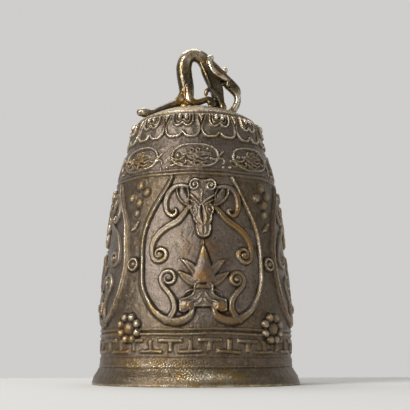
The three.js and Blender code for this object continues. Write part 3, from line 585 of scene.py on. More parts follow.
def drawCartouches():
    # Eight oval rims on the shoulder, each with a knotted ribbon whose ends cross the rim
    relief = blank()
    c = cartouche
    u = repeatAcross(45, c["turn"], bandRadius)
    a = np.linspace(0, 2 * np.pi, 61)
    oval = np.stack([c["halfWide"] * np.sign(np.cos(a)) * np.abs(np.cos(a)) ** 0.8,
                     c["middle"] + c["halfHigh"] * np.sign(np.sin(a)) * np.abs(np.sin(a)) ** 0.92], 1)
    stamp(relief, u, oval, [1.9, 1.9], flatTop(c["proud"], 0.5), 90)
    folds = [
        ([(-8.6, 172.6), (-4.6, 173.8), (0, 173), (4.6, 174.2), (11.4, 173.4)],
         [1.4, 2, 2.2, 2, 1.2]),
        ([(-6.8, 172.8), (-3, 171.2), (2, 171.6), (8.6, 172.4), (11.6, 171.8)],
         [1, 1.5, 1.6, 1.5, 0.9]),
        ([(-15.6, 173.6), (-17, 171.4), (-15.4, 169.8), (-12, 169), (-8.8, 169.6), (-7.2, 171.2),
          (-8.6, 173.4)],
         [1.2, 1.6, 1.6, 1.5, 1.6, 1.6, 1]),
        ([(-6.4, 169), (-6.2, 166.6), (-8.4, 164.8), (-11, 166.2), (-13.4, 165.6), (-16, 164.4),
          (-18.6, 164.8)],
         [1.2, 1.7, 1.7, 1.6, 1.5, 1.4, 0.9]),
        ([(-12.2, 168), (-14.6, 167.4), (-17.2, 168.6), (-19.6, 168)], [1.2, 1.6, 1.5, 0.9]),
        ([(-4.6, 170.4), (-1.2, 168.8), (2.4, 170.2), (6, 168.8), (9.6, 170.2)], [1.3, 1.9, 1.9, 1.8, 1.2]),
        ([(-4.8, 167.6), (-2, 166), (1.6, 167.4), (5.2, 166), (8.8, 167.2)], [1.2, 1.8, 1.8, 1.7, 1.1]),
        ([(-3.4, 165), (0.6, 164), (4.6, 164.4), (8, 163.6)], [1, 1.6, 1.5, 0.9]),
        ([(-1.2, 171.2), (0.2, 168), (-0.4, 164.4)], [1.2, 1.8, 1.2]),
        ([(11, 169.6), (14, 168.4), (17, 170.4), (19.4, 173.4), (21.4, 175.6)],
         [1.2, 1.6, 1.6, 1.6, 0.9]),
        ([(16.4, 168.6), (19.2, 169.4), (21.2, 167.6), (20.4, 165.4)], [1.2, 1.6, 1.5, 1]),
    ]
    for points, widths in folds:
        stamp(relief, u, points, widths, roundCrest(c["proud"]), 36)
    for x in (-2, 2.4):
        stamp(relief, u, spiral((x, 176.2), 1.5, 1.5, 0, 1, 16), [1.3, 1.3], roundCrest(c["proud"]), 20)
    for centre, radius in (((-12.2, 172.4), 1.7), ((20.4, 162.6), 1.1), ((-20.2, 163), 1.2),
                           ((9.8, 177.4), 0.9)):
        knob(relief, u, centre, radius, c["proud"])
    return relief


petal = {
    "proud": 2,  # mm
    "hem": 2.8,  # mm across the raised hem
    "valley": 1.5,  # mm that the field lies below the hem
}


def drawPetals():
    # Twelve petals in two round lobes with a raised hem, each with a double shield and two bright drops
    relief = blank()
    u = repeatAcross(30, 15, bandRadius)
    z = rowLevel
    halfWide = np.array([0, 0.7, 2.4, 5, 8, 11, 13.6, 15, 15.3, 14.6, 13])
    foot = np.array([190.4, 189.2, 187.5, 186.7, 186.6, 187.4, 189.6, 192.8, 196, 199.8, 203.4])
    across, up = np.concatenate([-halfWide[::-1], halfWide[1:]]), np.concatenate([foot[::-1], foot[1:]])
    edge = smoothLine(np.stack([across, up], 1), 90)
    deep, _ = strokeDepth(u, rowHeight, edge, np.zeros(90))
    reach = np.interp(rowHeight, np.append(foot[4:], 207), np.append(halfWide[4:] * (halfWide[4:] > 8), 11.4))
    sunk = np.interp(np.abs(u), halfWide[:8], foot[:8])
    deep = np.where((z > sunk[None, :]) & (np.abs(u)[None, :] < reach[:, None]), -deep, deep)
    hem = petal["hem"]
    lip = petal["proud"] * np.sqrt(np.clip(1 - (1 - np.clip(deep / (hem * 0.5), 0, 1)) ** 2, 0, 1))
    field = petal["valley"] * rise((deep - hem * 0.5) / (hem * 0.4)) * (1 - 0.7 * rise((deep - hem) / 7))
    low = 0.55 + 0.45 * rise((198 - z) / 7)  # the hem sinks up the sides, towards a plain round-edged leaf
    relief = np.where(deep > 0, low * (lip - field) + (1 - low) * 0.6 * lip, 0)
    for s in (-1, 1):  # the tip of the petal behind shows between two petals
        stamp(relief, u, [(s * 13.4, 206.6), (s * 15, 204), (s * 15.3, 200)], [3, 3.2, 0.8],
              roundCrest(petal["proud"] * 1.15), 20)
    relief = relief * rise((206.9 - z) / 1)
    stamp(relief, u, [(0, 190.4), (0, 192.4)], [1, 0.5], roundCrest(petal["proud"] * 0.9), 8)
    shield = [(-8.2, 206), (-8.3, 201.5), (-7, 198), (-4.6, 196.4), (-1.8, 197.2), (0, 199),
              (1.8, 197.2), (4.6, 196.4), (7, 198), (8.3, 201.5), (8.2, 206)]
    stamp(relief, u, shield, [1.6, 1.9, 1.6], roundCrest(petal["proud"] * 1.6), 50)
    inner = [(-5.7, 206), (-5.8, 202.2), (-4.8, 199.9), (-2.8, 199.4), (0, 201.4), (2.8, 199.4),
             (4.8, 199.9), (5.8, 202.2), (5.7, 206)]
    stamp(relief, u, inner, [1.1, 1.4, 1.1], roundCrest(petal["proud"] * 1.4), 40)
    for s in (-1, 1):
        knob(relief, u, (s * 2.7, 203.6), 2.3, petal["proud"] * 2.1, 1.35)
    return relief


def softened(field, spread):
    # Gaussian blur in grid steps, wrapped across the columns and held at the ends of the rows
    reach = int(spread * 3) + 1
    k = np.exp(-0.5 * (np.arange(-reach, reach + 1) / spread) ** 2)
    k /= k.sum()
    wide = np.concatenate([field[:, -reach:], field, field[:, :reach]], 1)
    out = sum(w * wide[:, i : i + field.shape[1]] for i, w in enumerate(k))
    tall = np.concatenate([np.repeat(out[:1], reach, 0), out, np.repeat(out[-1:], reach, 0)], 0)
    return sum(w * tall[i : i + field.shape[0]] for i, w in enumerate(k))


def waves(angle, height, seed, lowest, highest, count=14):
    # Sum of plane waves that close on themselves round the bell, between two wavelengths in mm
    rng = np.random.default_rng(seed)
    total = np.zeros(np.broadcast(angle, height).shape)
    for _ in range(count):
        length = rng.uniform(lowest, highest)
        lean = rng.uniform(0, 2 * np.pi)
        around = round(2 * np.pi / length * panelRadius * math.cos(lean))
        up = 2 * np.pi / length * math.sin(lean)
        total += np.sin(around * angle + up * height + rng.uniform(0, 2 * np.pi))
    return total / math.sqrt(count / 2)


def turned(angle, centre):
    # Angle from a centre the short way round
    return (angle - centre + math.pi) % (2 * math.pi) - math.pi


def hump(off, wide):
    # Bell curve: 1 in the middle, falling off over a width
    return np.exp(-(off / wide) ** 2)


places = {
    # angle from the front and its spread in radians, height and its spread in mm
    # a place on the front panel's ground, left of its middle, with a painted sheen and copper
    "sheenAndCopper": (-0.25, 0.14, 105, 13),
    # the flare's front, where a highlight is painted
    "flare": (0.08, 0.36, 7.5, 4.5),
    "arm": (0.4, 0.2, 113, 24),
    "foot": (0.22, 0.14, 50, 9),
}


def patch(angle, z, place):
    # 1 in the middle of a place on the wall, falling off as a bell curve round it and up it
    centre, wide, height, high = places[place]
    return np.exp(-(turned(angle, centre) / wide) ** 2 - ((z - height) / high) ** 2)


casting = {
    "wanderAround": 0.30,  # mm that the drawing strays sideways
    "wanderUp": 0.26,  # mm that it strays up and down
    "columnStep": 0.27,  # mm between the grid's columns, taken near the crown
    "uneven": 0.06,  # mm of slow unevenness of the cast
    "unevenFine": 0.03,
    "pitting": 0.07,  # mm of the pitted place on the skirt
}


def wholeRelief():
    # One quarter is drawn, then laid round four times through slow waves, so that no two panels are alike. It
    # gives the angles, the drawing alone, the drawing with the cast's unevenness, and where it is pitted
    tile = np.maximum.reduce([drawFrames(), drawMask(), drawLotus(), drawBetween(), drawRings(), drawFret(),
                              drawCartouches(), drawPetals()])
    tile = softened(tile, 0.75)
    angle = ((np.arange(cellCount) + 0.5) / cellCount * 4 * quarter - quarter / 2)[None, :]
    z = rowLevel
    fine = (z > 16) & (z < 212)
    slideAround = casting["wanderAround"] * waves(angle, z, 3, 26, 70) / casting["columnStep"] * fine
    slideUp = casting["wanderUp"] * waves(angle, z, 5, 24, 60) / bell["step"] * fine
    col = (np.arange(cellCount)[None, :] + slideAround) % columnCount
    row = np.clip(np.arange(len(outerLine))[:, None] + slideUp, 0, len(outerLine) - 1.001)
    c0, r0 = np.floor(col).astype(int), np.floor(row).astype(int)
    fc, fr = col - c0, row - r0
    c1 = (c0 + 1) % columnCount
    c0 = c0 % columnCount
    laid = ((tile[r0, c0] * (1 - fc) + tile[r0, c1] * fc) * (1 - fr)
            + (tile[r0 + 1, c0] * (1 - fc) + tile[r0 + 1, c1] * fc) * fr)
    cast = (casting["uneven"] * waves(angle, z, 11, 5, 12, 24)
            + casting["unevenFine"] * waves(angle, z, 12, 2.2, 4.5, 30))
    near = hump(turned(angle, -0.35), 0.6) + 0.6 * hump(turned(angle, 2.5), 0.9)
    near = near * rise((z - 2.5) / 3) * rise((21 - z) / 2)
    pitted = near * np.clip(waves(angle, z, 41, 1.2, 2.1, 36), -2, 2)  # a pitted place on the skirt and flare
    cast = cast * rise((z - 3) / 4) * rise((rowRadius[:, None] - 12) / 35)
    return angle, laid, laid + cast + casting["pitting"] * pitted, pitted


def fromPanel(angle):
    # Arc length in mm from the middle of the nearest panel
    return np.abs((angle + quarter / 2) % quarter - quarter / 2) * panelRadius


def panelField(angle, z):
    # 1 on the sunk ground inside a panel's rail, 0 between the panels, and 1 again over the shoulder
    across = fromPanel(angle)
    rail = np.interp(z, [42, 50, 60, 80, 100, 120, 140, 155], [10, 26, 38, 45.5, 46, 42, 33, 25])
    return rise((rail - across) / 3 + 0.5) * rise((z - 44) / 4) * rise((155 - z) / 4) + rise((z - 156) / 6)


rubbingAndHighlight = {
    # how far hands and use have rubbed each place, where 1 is bare metal; on the flare, masks, front ground
    # and shoulder this also paints a highlight
    "relief": 0.1,
    "wideCrest": 0.3,
    "fineCrest": 0.4,
    "rim": 0.75,
    "pitting": 0.5,
    "skirt": 0.35,
    # painted highlight on the flare's front
    "flare": 0.95,
    # rubbing and a painted highlight on the masks
    "mask": 0.1,
    # painted sheen on the front panel's ground
    "sheenAndCopper": 0.3,
    # rubbing and a painted highlight on the ovals and petals
    "shoulder": 0.16,
    "crown": 0.28,
}
# soil and painted shade in the corners, soil in the pits
soilAndShading = {"fineCorner": 0.6, "wideCorner": 0.3, "pitting": 0.3}
coppery = {
    # how much copper shows on each, where 1 is all of it
    "bud": 1.0,
    "lobes": 0.7,
    "ridge": 0.6,
    "skirt": 0.6,
    "ovals": 0.5,
    "chin": 0.62,
    "sheenAndCopper": 0.3,
    "arm": 1.3,
    "foot": 0.9,
    "ground": 0.2,  # share of the arm's and foot's copper that the flat ground round them takes
}


def rubbedAndHighlit(angle, z):
    # Extra rubbing on the skirt left of the front, the masks, the ovals, the petals and the crown, and
    # painted highlights on the flare, the masks, a small place on the front's ground, the ovals and the
    # petals
    near = hump(turned(angle, -0.62), 0.55) + 0.5 * hump(turned(angle, 2.9), 0.6)
    skirt = rubbingAndHighlight["skirt"] * near * rise((z - 8) / 5) * rise((21 - z) / 2)
    # a pale highlight painted on the flare's front
    flare = rubbingAndHighlight["flare"] * patch(angle, z, "flare")
    # rubbing and a painted highlight on the masks
    mask = rubbingAndHighlight["mask"] * rise((12 - fromPanel(angle)) / 4) * rise((z - 105) / 4) * rise((155 - z) / 4)
    # a sheen painted on the front panel's ground
    sheenAndCopper = rubbingAndHighlight["sheenAndCopper"] * patch(angle, z, "sheenAndCopper")
    # rubbing and a painted highlight on the ovals and petals, and rubbing on the crown
    shoulder, crown = rubbingAndHighlight["shoulder"] * rise((z - 159) / 4), rubbingAndHighlight["crown"] * rise((z - 205) / 4)
    return skirt + flare + mask + sheenAndCopper + shoulder + crown


def warmField(angle, z, raised):
    # Where the copper shows through: on each lotus and under each mask, along the lower ridge, on the left of
    # the front and round the front's right arm
    across = fromPanel(angle)
    bud = coppery["bud"] * np.exp(-(across / 8) ** 2 - ((z - 79) / 8) ** 2)
    lobes = coppery["lobes"] * np.exp(-((across - 11) / 4.5) ** 2 - ((z - 58) / 4) ** 2)
    ridge = coppery["ridge"] * hump(z - 39, 3) * rise(waves(angle, z, 31, 60, 140, 6))
    low = coppery["skirt"] * rise((62 - z) / 30) * rise((z - 12) / 8)
    left = hump(turned(angle, -0.85), 0.35) * (low + coppery["ovals"] * hump(z - 170, 9))
    chin = coppery["chin"] * np.exp(-((across - 3) / 9) ** 2 - ((z - 101) / 9) ** 2)
    arm = coppery["arm"] * patch(angle, z, "arm")
    foot = coppery["foot"] * patch(angle, z, "foot")
    onRelief = coppery["ground"] + (1 - coppery["ground"]) * rise(raised / 0.8)
    sheenAndCopper = coppery["sheenAndCopper"] * patch(angle, z, "sheenAndCopper")
    return bud + lobes + ridge + left + chin + sheenAndCopper + (arm + foot) * onRelief


print("drawing the relief")
cellAngle, drawn, wallRelief, pitting = wholeRelief()
# above 0 on crests, below 0 in grooves and at the foot of the relief
wideCrest = drawn - softened(drawn, 6.0)
fineCrest = drawn - softened(drawn, 2.2)
# how far hands have rubbed the metal, most on crests and on the rim, plus painted highlights in some places
wearAndPaintedLight = rubbingAndHighlight["relief"] * rise(drawn / 2.0) + rubbingAndHighlight["wideCrest"] * rise(wideCrest / 1.1)
wearAndPaintedLight = wearAndPaintedLight + rubbingAndHighlight["fineCrest"] * rise(fineCrest / 0.4) + rubbingAndHighlight["rim"] * rise((2.6 - rowLevel) / 1.6)
wearAndPaintedLight = wearAndPaintedLight + rubbedAndHighlit(cellAngle, rowLevel) + rubbingAndHighlight["pitting"] * rise(pitting - 0.35)
# how much dirt and dark patina it holds, with painted shade, most in the corners
soilAndShade = soilAndShading["fineCorner"] * rise(-fineCrest / 0.45) + soilAndShading["wideCorner"] * rise(-wideCrest / 1.2)
soilAndShade = soilAndShade + soilAndShading["pitting"] * rise(-pitting - 0.3)
inPanel = panelField(cellAngle, rowLevel)
warm = warmField(cellAngle, rowLevel, drawn)
skinFields = {"wearAndPaintedLight": wearAndPaintedLight, "soilAndShade": soilAndShade, "inPanel": inPanel, "warm": warm}
insideDarkening = 0.35  # how much darker the hollow's inside is coloured, all over
print("relief is", wallRelief.shape, "and reaches", round(float(wallRelief.max()), 2), "mm")


def outsideGrid():
    # The plain line's own outward normal carries the relief
    slope = np.gradient(outerLine, axis=0)
    slope /= np.linalg.norm(slope, axis=1, keepdims=True)
    out, up = slope[:, 1], -slope[:, 0]
    radius = rowRadius[:, None] + wallRelief * out[:, None]
    height = rowLevel + wallRelief * up[:, None]
    radius = np.minimum(radius, bell["mouthRadius"])
    height = np.clip(height, 0, None)
    angle = np.broadcast_to(cellAngle, radius.shape)
    return np.stack([radius * np.sin(angle), -radius * np.cos(angle), height], 2)


def gridNormals(grid):
    # Cross product of the steps round and up, wrapped across the seam
    around = np.roll(grid, -1, 1) - np.roll(grid, 1, 1)
    up = np.gradient(grid, axis=0)
    normal = np.cross(around, up)
    return normal / np.maximum(np.linalg.norm(normal, axis=2, keepdims=True), 1e-12)


def ringGrid(profile, angle):
    # Points of a (radius, height) profile turned through the angles
    p = np.asarray(profile, float)
    level = np.broadcast_to(p[:, 1:], (len(p), angle.shape[1]))
    return np.stack([p[:, :1] * np.sin(angle), -p[:, :1] * np.cos(angle), level], 2)


def writeMesh(name, points, loops, starts, material, fields=None, normals=None):
    # Points in mm go into a mesh in metres, with its float fields and its own normals
    mesh = bpy.data.meshes.new(name)
    mesh.vertices.add(len(points))
    mesh.vertices.foreach_set("co", (np.asarray(points) * metre).astype(np.float32).ravel())
    mesh.loops.add(len(loops))
    mesh.loops.foreach_set("vertex_index", np.asarray(loops, np.int32))
    mesh.polygons.add(len(starts))
    mesh.polygons.foreach_set("loop_start", np.asarray(starts, np.int32))
    mesh.update(calc_edges=True)
    mesh.shade_smooth()
    for field, values in (fields or {}).items():
        attribute = mesh.attributes.new(field, "FLOAT", "POINT")
        attribute.data.foreach_set("value", np.asarray(values, np.float32).ravel())
    if normals is not None:
        mesh.normals_split_custom_set_from_vertices(np.asarray(normals, np.float32).reshape(-1, 3))
    made = bpy.data.objects.new(name, mesh)
    made.data.materials.append(material)
    bpy.context.scene.collection.objects.link(made)
    return made


def gridLoops(rows, cols, wrapCols, wrapRows):
    # Four corners of every cell of a grid, turned outwards
    r = np.arange(rows if wrapRows else rows - 1)[:, None]
    c = np.arange(cols if wrapCols else cols - 1)[None, :]
    r2, c2 = (r + 1) % rows, (c + 1) % cols
    a, b, d, e = r * cols + c, r * cols + c2, r2 * cols + c2, r2 * cols + c
    return np.stack(np.broadcast_arrays(a, b, d, e), 2).reshape(-1, 4)


def shellPiece(name, rows, cols, inside, material, form="ring"):
    # A closed shell cut from the whole grid. A ring closes on itself, a stave is capped at its two sides,
    # and a cap is closed at its poles
    outer, normal = bellGrid[rows][:, cols], bellNormal[rows][:, cols]
    angle = cellAngle[:, cols]
    inner = ringGrid(inside, angle)
    towards = -np.stack([np.sin(angle), -np.cos(angle), np.zeros_like(angle)], 2)
    innerNormal = np.broadcast_to(towards, inner.shape).copy()
    if form == "cap":
        innerNormal[:-1] = (0, 0, -1)
    points = np.concatenate([outer, inner], 0)
    high, wide = points.shape[:2]
    quads = gridLoops(high, wide, form != "stave", form != "cap")
    if form == "cap":
        poles = np.arange((len(rows) - 1) * wide, len(rows) * wide)  # the two poles stay apart
        quads = np.delete(quads, poles, 0)
        c = np.arange(wide)
        c2, last = (c + 1) % wide, (high - 1) * wide
        quads = np.concatenate([quads, np.stack([last + c, last + c2, c2, c], 1)])
    loops, starts = quads.ravel(), np.arange(len(quads)) * 4
    ends = []
    if form == "stave":
        first = np.arange(high) * wide
        ends = [first, (first + wide - 1)[::-1]]
    if form == "cap":
        c = np.arange(wide)
        ends = [(len(rows) - 1) * wide + c, (len(rows) * wide + c)[::-1]]
    for end in ends:
        starts = np.append(starts, len(loops))
        loops = np.concatenate([loops, end])
    pad = np.zeros(inner.shape[:2])
    fields = {}
    for field, values in skinFields.items():
        hidden = pad + (insideDarkening if field == "soilAndShade" else 0)
        fields[field] = np.concatenate([values[rows][:, cols], hidden], 0)
    normals = np.concatenate([normal, innerNormal], 0)
    print(name, "has", 2 * len(quads), "triangles")
    return writeMesh(name, points.reshape(-1, 3), loops, starts, material, fields, normals)


castBronze = {
    "ground": "#6b5b46",
    "groundDark": "#3b2d1b",
    "groundGrey": "#7c7066",
    "crest": "#a9997d",
    "gold": "#a2803f",
    # pale flecks of bare metal and painted glints
    "fleckAndGlint": "#e8dfcb",
    # soil and painted shade in the corners
    "soilAndShade": "#1d150c",
    "green": "#4f5540",
    "copper": "#825c2b",
    "wearFrom": 0.2,  # share of rubbing at which the metal begins to show
    "wearFull": 1.0,
    "dull": 0.36,  # roughness of the patina
    "bare": 0.2,  # roughness of the rubbed metal
    "bump": 0.55,
}
rubbedBronze = {
    "ground": "#544731",
    "groundDark": "#2a2116",
    "groundGrey": "#7d776b",
    "crest": "#a3957c",
    "gold": "#a87c2c",
    # pale flecks of bare metal and painted glints
    "fleckAndGlint": "#eae3d0",
    # soil and painted shade in the corners
    "soilAndShade": "#120d08",
    "green": "#45523f",
    "copper": "#8c6234",
    "wearFrom": 0.34,
    "wearFull": 1.0,
    "dull": 0.27,
    "bare": 0.17,
    "bump": 0.12,
}


def glazed(tree, colour, layers):
    # Lays paints over a colour one by one. Each layer has its paint, its field, where on the field it sets in
    # and where it is full, and its share there
    for paint, field, low, high, most in layers:
        ramp = {"From Min": low, "From Max": high, "To Max": most}
        share = addNode(tree, "ShaderNodeMapRange", ramp, {"Value": field}).outputs["Result"]
        mix = {"data_type": "RGBA", 7: toLinear(paint)}
        colour = addNode(tree, "ShaderNodeMix", mix, {0: share, 6: colour}).outputs[2]
    return colour, share


patina = {
    # scale in waves to the metre, detail and roughness of each pattern
    "clouds": (29.0, 4.0, 0.55),  # 34 mm
    "patches": (110.0, 5.0, 0.65),  # 9 mm
    "spots": (71.0, 3.0, 0.55),  # 14 mm
    "grain": (385.0, 6.0, 0.7),  # 2.6 mm
    # casting pits are 0.1 to 0.3 mm and scratches hair-fine; both are drawn coarser so that they show
    "fleck": (1100.0, 3.0, 0.7),  # 0.9 mm
    "scratches": (900.0, 2.0, 0.6),  # 1.1 mm wide, 7 mm long
}


def bronzeSkin(name, c):
    # Cast bronze under a brown patina: mottled brown and mauve grey on the ground, rubbed to dull gold on the
    # crests and painted pale as highlights in places, with copper and green spots, pale flecks and painted
    # glints, black soil and painted shade in the grooves, and fine pits from the casting
    material, tree = newMaterial(name)
    place = addNode(tree, "ShaderNodeTexCoord").outputs["Object"]
    drawnOut = {"Scale": (1.0, 1.0, 0.16), "Rotation": (0.0, 0.45, 0.0)}
    stretched = addNode(tree, "ShaderNodeMapping", drawnOut, {"Vector": place}).outputs["Vector"]
    noise = {}
    for field, (scale, detail, roughness) in patina.items():
        settings = {"Scale": scale, "Detail": detail, "Roughness": roughness}
        where = stretched if field == "scratches" else place
        noise[field] = addNode(tree, "ShaderNodeTexNoise", settings, {"Vector": where}).outputs["Fac"]
    clouds, patches, spots, grain, fleck, scratches = noise.values()
    fields = ("wearAndPaintedLight", "soilAndShade", "inPanel", "warm")
    wearAndLightAt, soilAndShadeAt, panelAt, warmAt = [
        addNode(tree, "ShaderNodeAttribute", {"attribute_name": field}).outputs["Fac"] for field in fields]

    grey = addNode(tree, "ShaderNodeMath", {"operation": "MULTIPLY_ADD", 1: 0.45}, {0: panelAt, 2: clouds})
    grey = addNode(tree, "ShaderNodeMapRange", {"From Min": 0.46, "From Max": 0.98},
                   {"Value": grey.outputs[0]})
    ground = {"data_type": "RGBA", 6: toLinear(c["ground"]), 7: toLinear(c["groundGrey"])}
    colour = addNode(tree, "ShaderNodeMix", ground, {0: grey.outputs["Result"]}).outputs[2]
    copper = addNode(tree, "ShaderNodeMath", {"operation": "MULTIPLY_ADD", 1: 0.45}, {0: warmAt, 2: patches})
    colour, _ = glazed(tree, colour, (
        (c["groundDark"], patches, 0.46, 0.74, 0.8),
        (c["groundGrey"], grain, 0.48, 0.66, 0.8),
        (c["groundDark"], fleck, 0.52, 0.36, 0.8),  # pits
        (c["crest"], scratches, 0.56, 0.8, 0.35),
        (c["green"], spots, 0.6, 0.74, 0.5),
        (c["copper"], copper.outputs[0], 0.66, 1.06, 0.7),
    ))

    # rubbed metal and painted highlights, in ragged patches, part dull gold and part grey
    wornAndLit = addNode(tree, "ShaderNodeMath", {"operation": "MULTIPLY_ADD", 1: 0.8, 2: -0.8}, {0: grain})
    wornAndLit = addNode(tree, "ShaderNodeMath", {"operation": "MULTIPLY_ADD", 1: 0.8},
                   {0: patches, 2: wornAndLit.outputs[0]})
    wornAndLit = addNode(tree, "ShaderNodeMath", {"operation": "ADD"}, {0: wornAndLit.outputs[0], 1: wearAndLightAt})
    ramp = {"From Min": c["wearFrom"], "From Max": c["wearFull"], "To Max": 0.9}
    wornAndLit = addNode(tree, "ShaderNodeMapRange", ramp, {"Value": wornAndLit.outputs[0]}).outputs["Result"]
    golden = addNode(tree, "ShaderNodeMath", {"operation": "MULTIPLY_ADD", 1: 0.3}, {0: warmAt, 2: spots})
    golden = addNode(tree, "ShaderNodeMapRange", {"From Min": 0.46, "From Max": 0.62},
                     {"Value": golden.outputs[0]})
    bare = {"data_type": "RGBA", 6: toLinear(c["crest"]), 7: toLinear(c["gold"])}
    rubbedAndPaintedLight = addNode(tree, "ShaderNodeMix", bare, {0: golden.outputs["Result"]}).outputs[2]
    colour = addNode(tree, "ShaderNodeMix", {"data_type": "RGBA"}, {0: wornAndLit, 6: colour, 7: rubbedAndPaintedLight}).outputs[2]

    # bright flecks and painted glints on the rubbed metal, then soil and painted shade in the corners
    bright = addNode(tree, "ShaderNodeMath", {"operation": "MULTIPLY"}, {0: wornAndLit, 1: fleck})
    # soil with painted shade in the corners, over ragged patches
    dirtAndShade = addNode(tree, "ShaderNodeMath", {"operation": "MULTIPLY_ADD", 1: 0.5, 2: -0.25}, {0: patches})
    dirtAndShade = addNode(tree, "ShaderNodeMath", {"operation": "ADD"}, {0: dirtAndShade.outputs[0], 1: soilAndShadeAt})
    colour, dirtAndShadeShare = glazed(tree, colour, (
        (c["fleckAndGlint"], bright.outputs[0], 0.3, 0.52, 1.0),
        (c["soilAndShade"], dirtAndShade.outputs[0], 0.12, 0.85, 0.9),
    ))
    gloss = addNode(tree, "ShaderNodeMapRange", {"To Min": c["dull"], "To Max": c["bare"]}, {"Value": wornAndLit})
    dull = addNode(tree, "ShaderNodeMath", {"operation": "MULTIPLY_ADD", 1: 0.25},
                   {0: dirtAndShadeShare, 2: gloss.outputs["Result"]})
    height = addNode(tree, "ShaderNodeMath", {"operation": "ADD"}, {0: grain, 1: fleck})
    height = addNode(tree, "ShaderNodeMath", {"operation": "MULTIPLY_ADD", 1: 0.25},
                     {0: scratches, 2: height.outputs[0]})
    bump = addNode(tree, "ShaderNodeBump", {"Strength": c["bump"], "Distance": 0.0006},
                   {"Height": height.outputs[0]})
    metal = addNode(tree, "ShaderNodeBsdfPrincipled", {"Metallic": 0.85},
                    {"Base Color": colour, "Roughness": dull.outputs[0], "Normal": bump.outputs["Normal"]})
    addNode(tree, "ShaderNodeOutputMaterial", None, {"Surface": metal.outputs[0]})
    return material


iron = {"scale": "#37322e", "rust": "#5a4130"}


def ironSkin(name, c):
    # Forged iron: black scale with brown rust in its low spots, and hammer dents
    material, tree = newMaterial(name)
    place = addNode(tree, "ShaderNodeTexCoord").outputs["Object"]
    grain = addNode(tree, "ShaderNodeTexNoise", {"Scale": 260.0, "Detail": 7.0, "Roughness": 0.68},
                    {"Vector": place}).outputs["Fac"]  # 4 mm
    dents = addNode(tree, "ShaderNodeTexVoronoi", {"Scale": 190.0, "Randomness": 0.9},
                    {"Vector": place}).outputs["Distance"]  # 5 mm
    rusty = addNode(tree, "ShaderNodeMapRange", {"From Min": 0.42, "From Max": 0.66}, {"Value": grain})
    colour = addNode(tree, "ShaderNodeMix",
                     {"data_type": "RGBA", 6: toLinear(c["scale"]), 7: toLinear(c["rust"])},
                     {0: rusty.outputs["Result"]})
    height = addNode(tree, "ShaderNodeMath", {"operation": "ADD"}, {0: grain, 1: dents})
    bump = addNode(tree, "ShaderNodeBump", {"Strength": 0.6, "Distance": 0.0005},
                   {"Height": height.outputs[0]})
    dull = addNode(tree, "ShaderNodeMapRange", {"To Min": 0.48, "To Max": 0.8}, {"Value": grain})
    metal = addNode(tree, "ShaderNodeBsdfPrincipled", {"Metallic": 0.7},
                    {"Base Color": colour.outputs[2], "Roughness": dull.outputs["Result"],
                     "Normal": bump.outputs["Normal"]})
    addNode(tree, "ShaderNodeOutputMaterial", None, {"Surface": metal.outputs[0]})
    return material


bellBronze = bronzeSkin("castBronzeBrownPatina", castBronze)
handleBronze = bronzeSkin("castBronzeRubbedGold", rubbedBronze)
clapperIron = ironSkin("forgedIron", iron)
print("metals made")


bellGrid = outsideGrid()
bellNormal = gridNormals(bellGrid)


def rowAt(height):
    # The row that lies nearest to a height
    return int(np.abs(rowHeight - height).argmin())


def insideRun(low, high, count):
    # The inner wall from high to low, as (radius, height)
    z = np.linspace(high, low, count)
    return np.stack([insideRadius(z), z], 1)


def rowsFrom(low, high):
    # All rows between two heights, or up to the axis where there is no upper one
    return np.arange(rowAt(low), (rowAt(high) if high else len(outerLine) - 1) + 1)


sides = ("front", "right", "back", "left")
corners = ("front_right", "back_right", "back_left", "front_left")
allColumns = np.arange(cellCount)


def dress(piece, slot, *nodes, body="bell"):
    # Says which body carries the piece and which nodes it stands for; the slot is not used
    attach(piece, body)
    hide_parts(*nodes)


def bellRing(name, low, high, inner, stands):
    # A closed ring of the wall between two heights, with the given number of rows inside
    rows = rowsFrom(low, high)
    inside = insideRun(rowHeight[rows[0]], rowHeight[rows[-1]], inner)
    dress(shellPiece(name, rows, allColumns, inside, bellBronze), "bell_bronze", *stands)


cut = {"lip": 21.0, "band": 42.0, "wall": 154.0, "shoulder": 186.0,
       "petals": 211.2}  # upper end of each, in mm
bellRing("flared_lip", 0.0, cut["lip"], 4, ["bell_body"])
bellRing("fret_band", cut["lip"], cut["band"], 3, ["bell_body"] + ["rosette_" + c for c in corners])
bellRing("cartouche_shoulder", cut["wall"], cut["shoulder"], 3,
         ["bell_body"] + [f"cartouche_{i}" for i in range(1, 9)])
bellRing("petal_crown", cut["shoulder"], cut["petals"], 3, ["bell_body", "petal_collar"])
wallRows = rowsFrom(cut["band"], cut["wall"])
wallInside = insideRun(rowHeight[wallRows[0]], rowHeight[wallRows[-1]], 9)
for i, side in enumerate(sides):
    columns = np.arange(i * columnCount, (i + 1) * columnCount + 1) % cellCount
    stave = shellPiece("wall_" + side, wallRows, columns, wallInside, bellBronze, "stave")
    dress(stave, "bell_bronze", "bell_body", "panel_frame_left_" + side, "panel_frame_right_" + side,
          "beast_mask_" + side, "lotus_" + side, "boss_" + corners[i], "boss_" + corners[i - 1],
          "rosette_" + corners[i], "rosette_" + corners[i - 1])
capRows = rowsFrom(cut["petals"], None)
capInside = [(0.5, bell["ceiling"]), (14.0, bell["ceiling"]), (29.0, bell["ceiling"]),
             (float(insideRadius(rowHeight[capRows[0]])), rowHeight[capRows[0]])]
cap = shellPiece("crown_cap", capRows, allColumns, capInside, bellBronze, "cap")
dress(cap, "bell_bronze", "bell_body")
print("bell made")


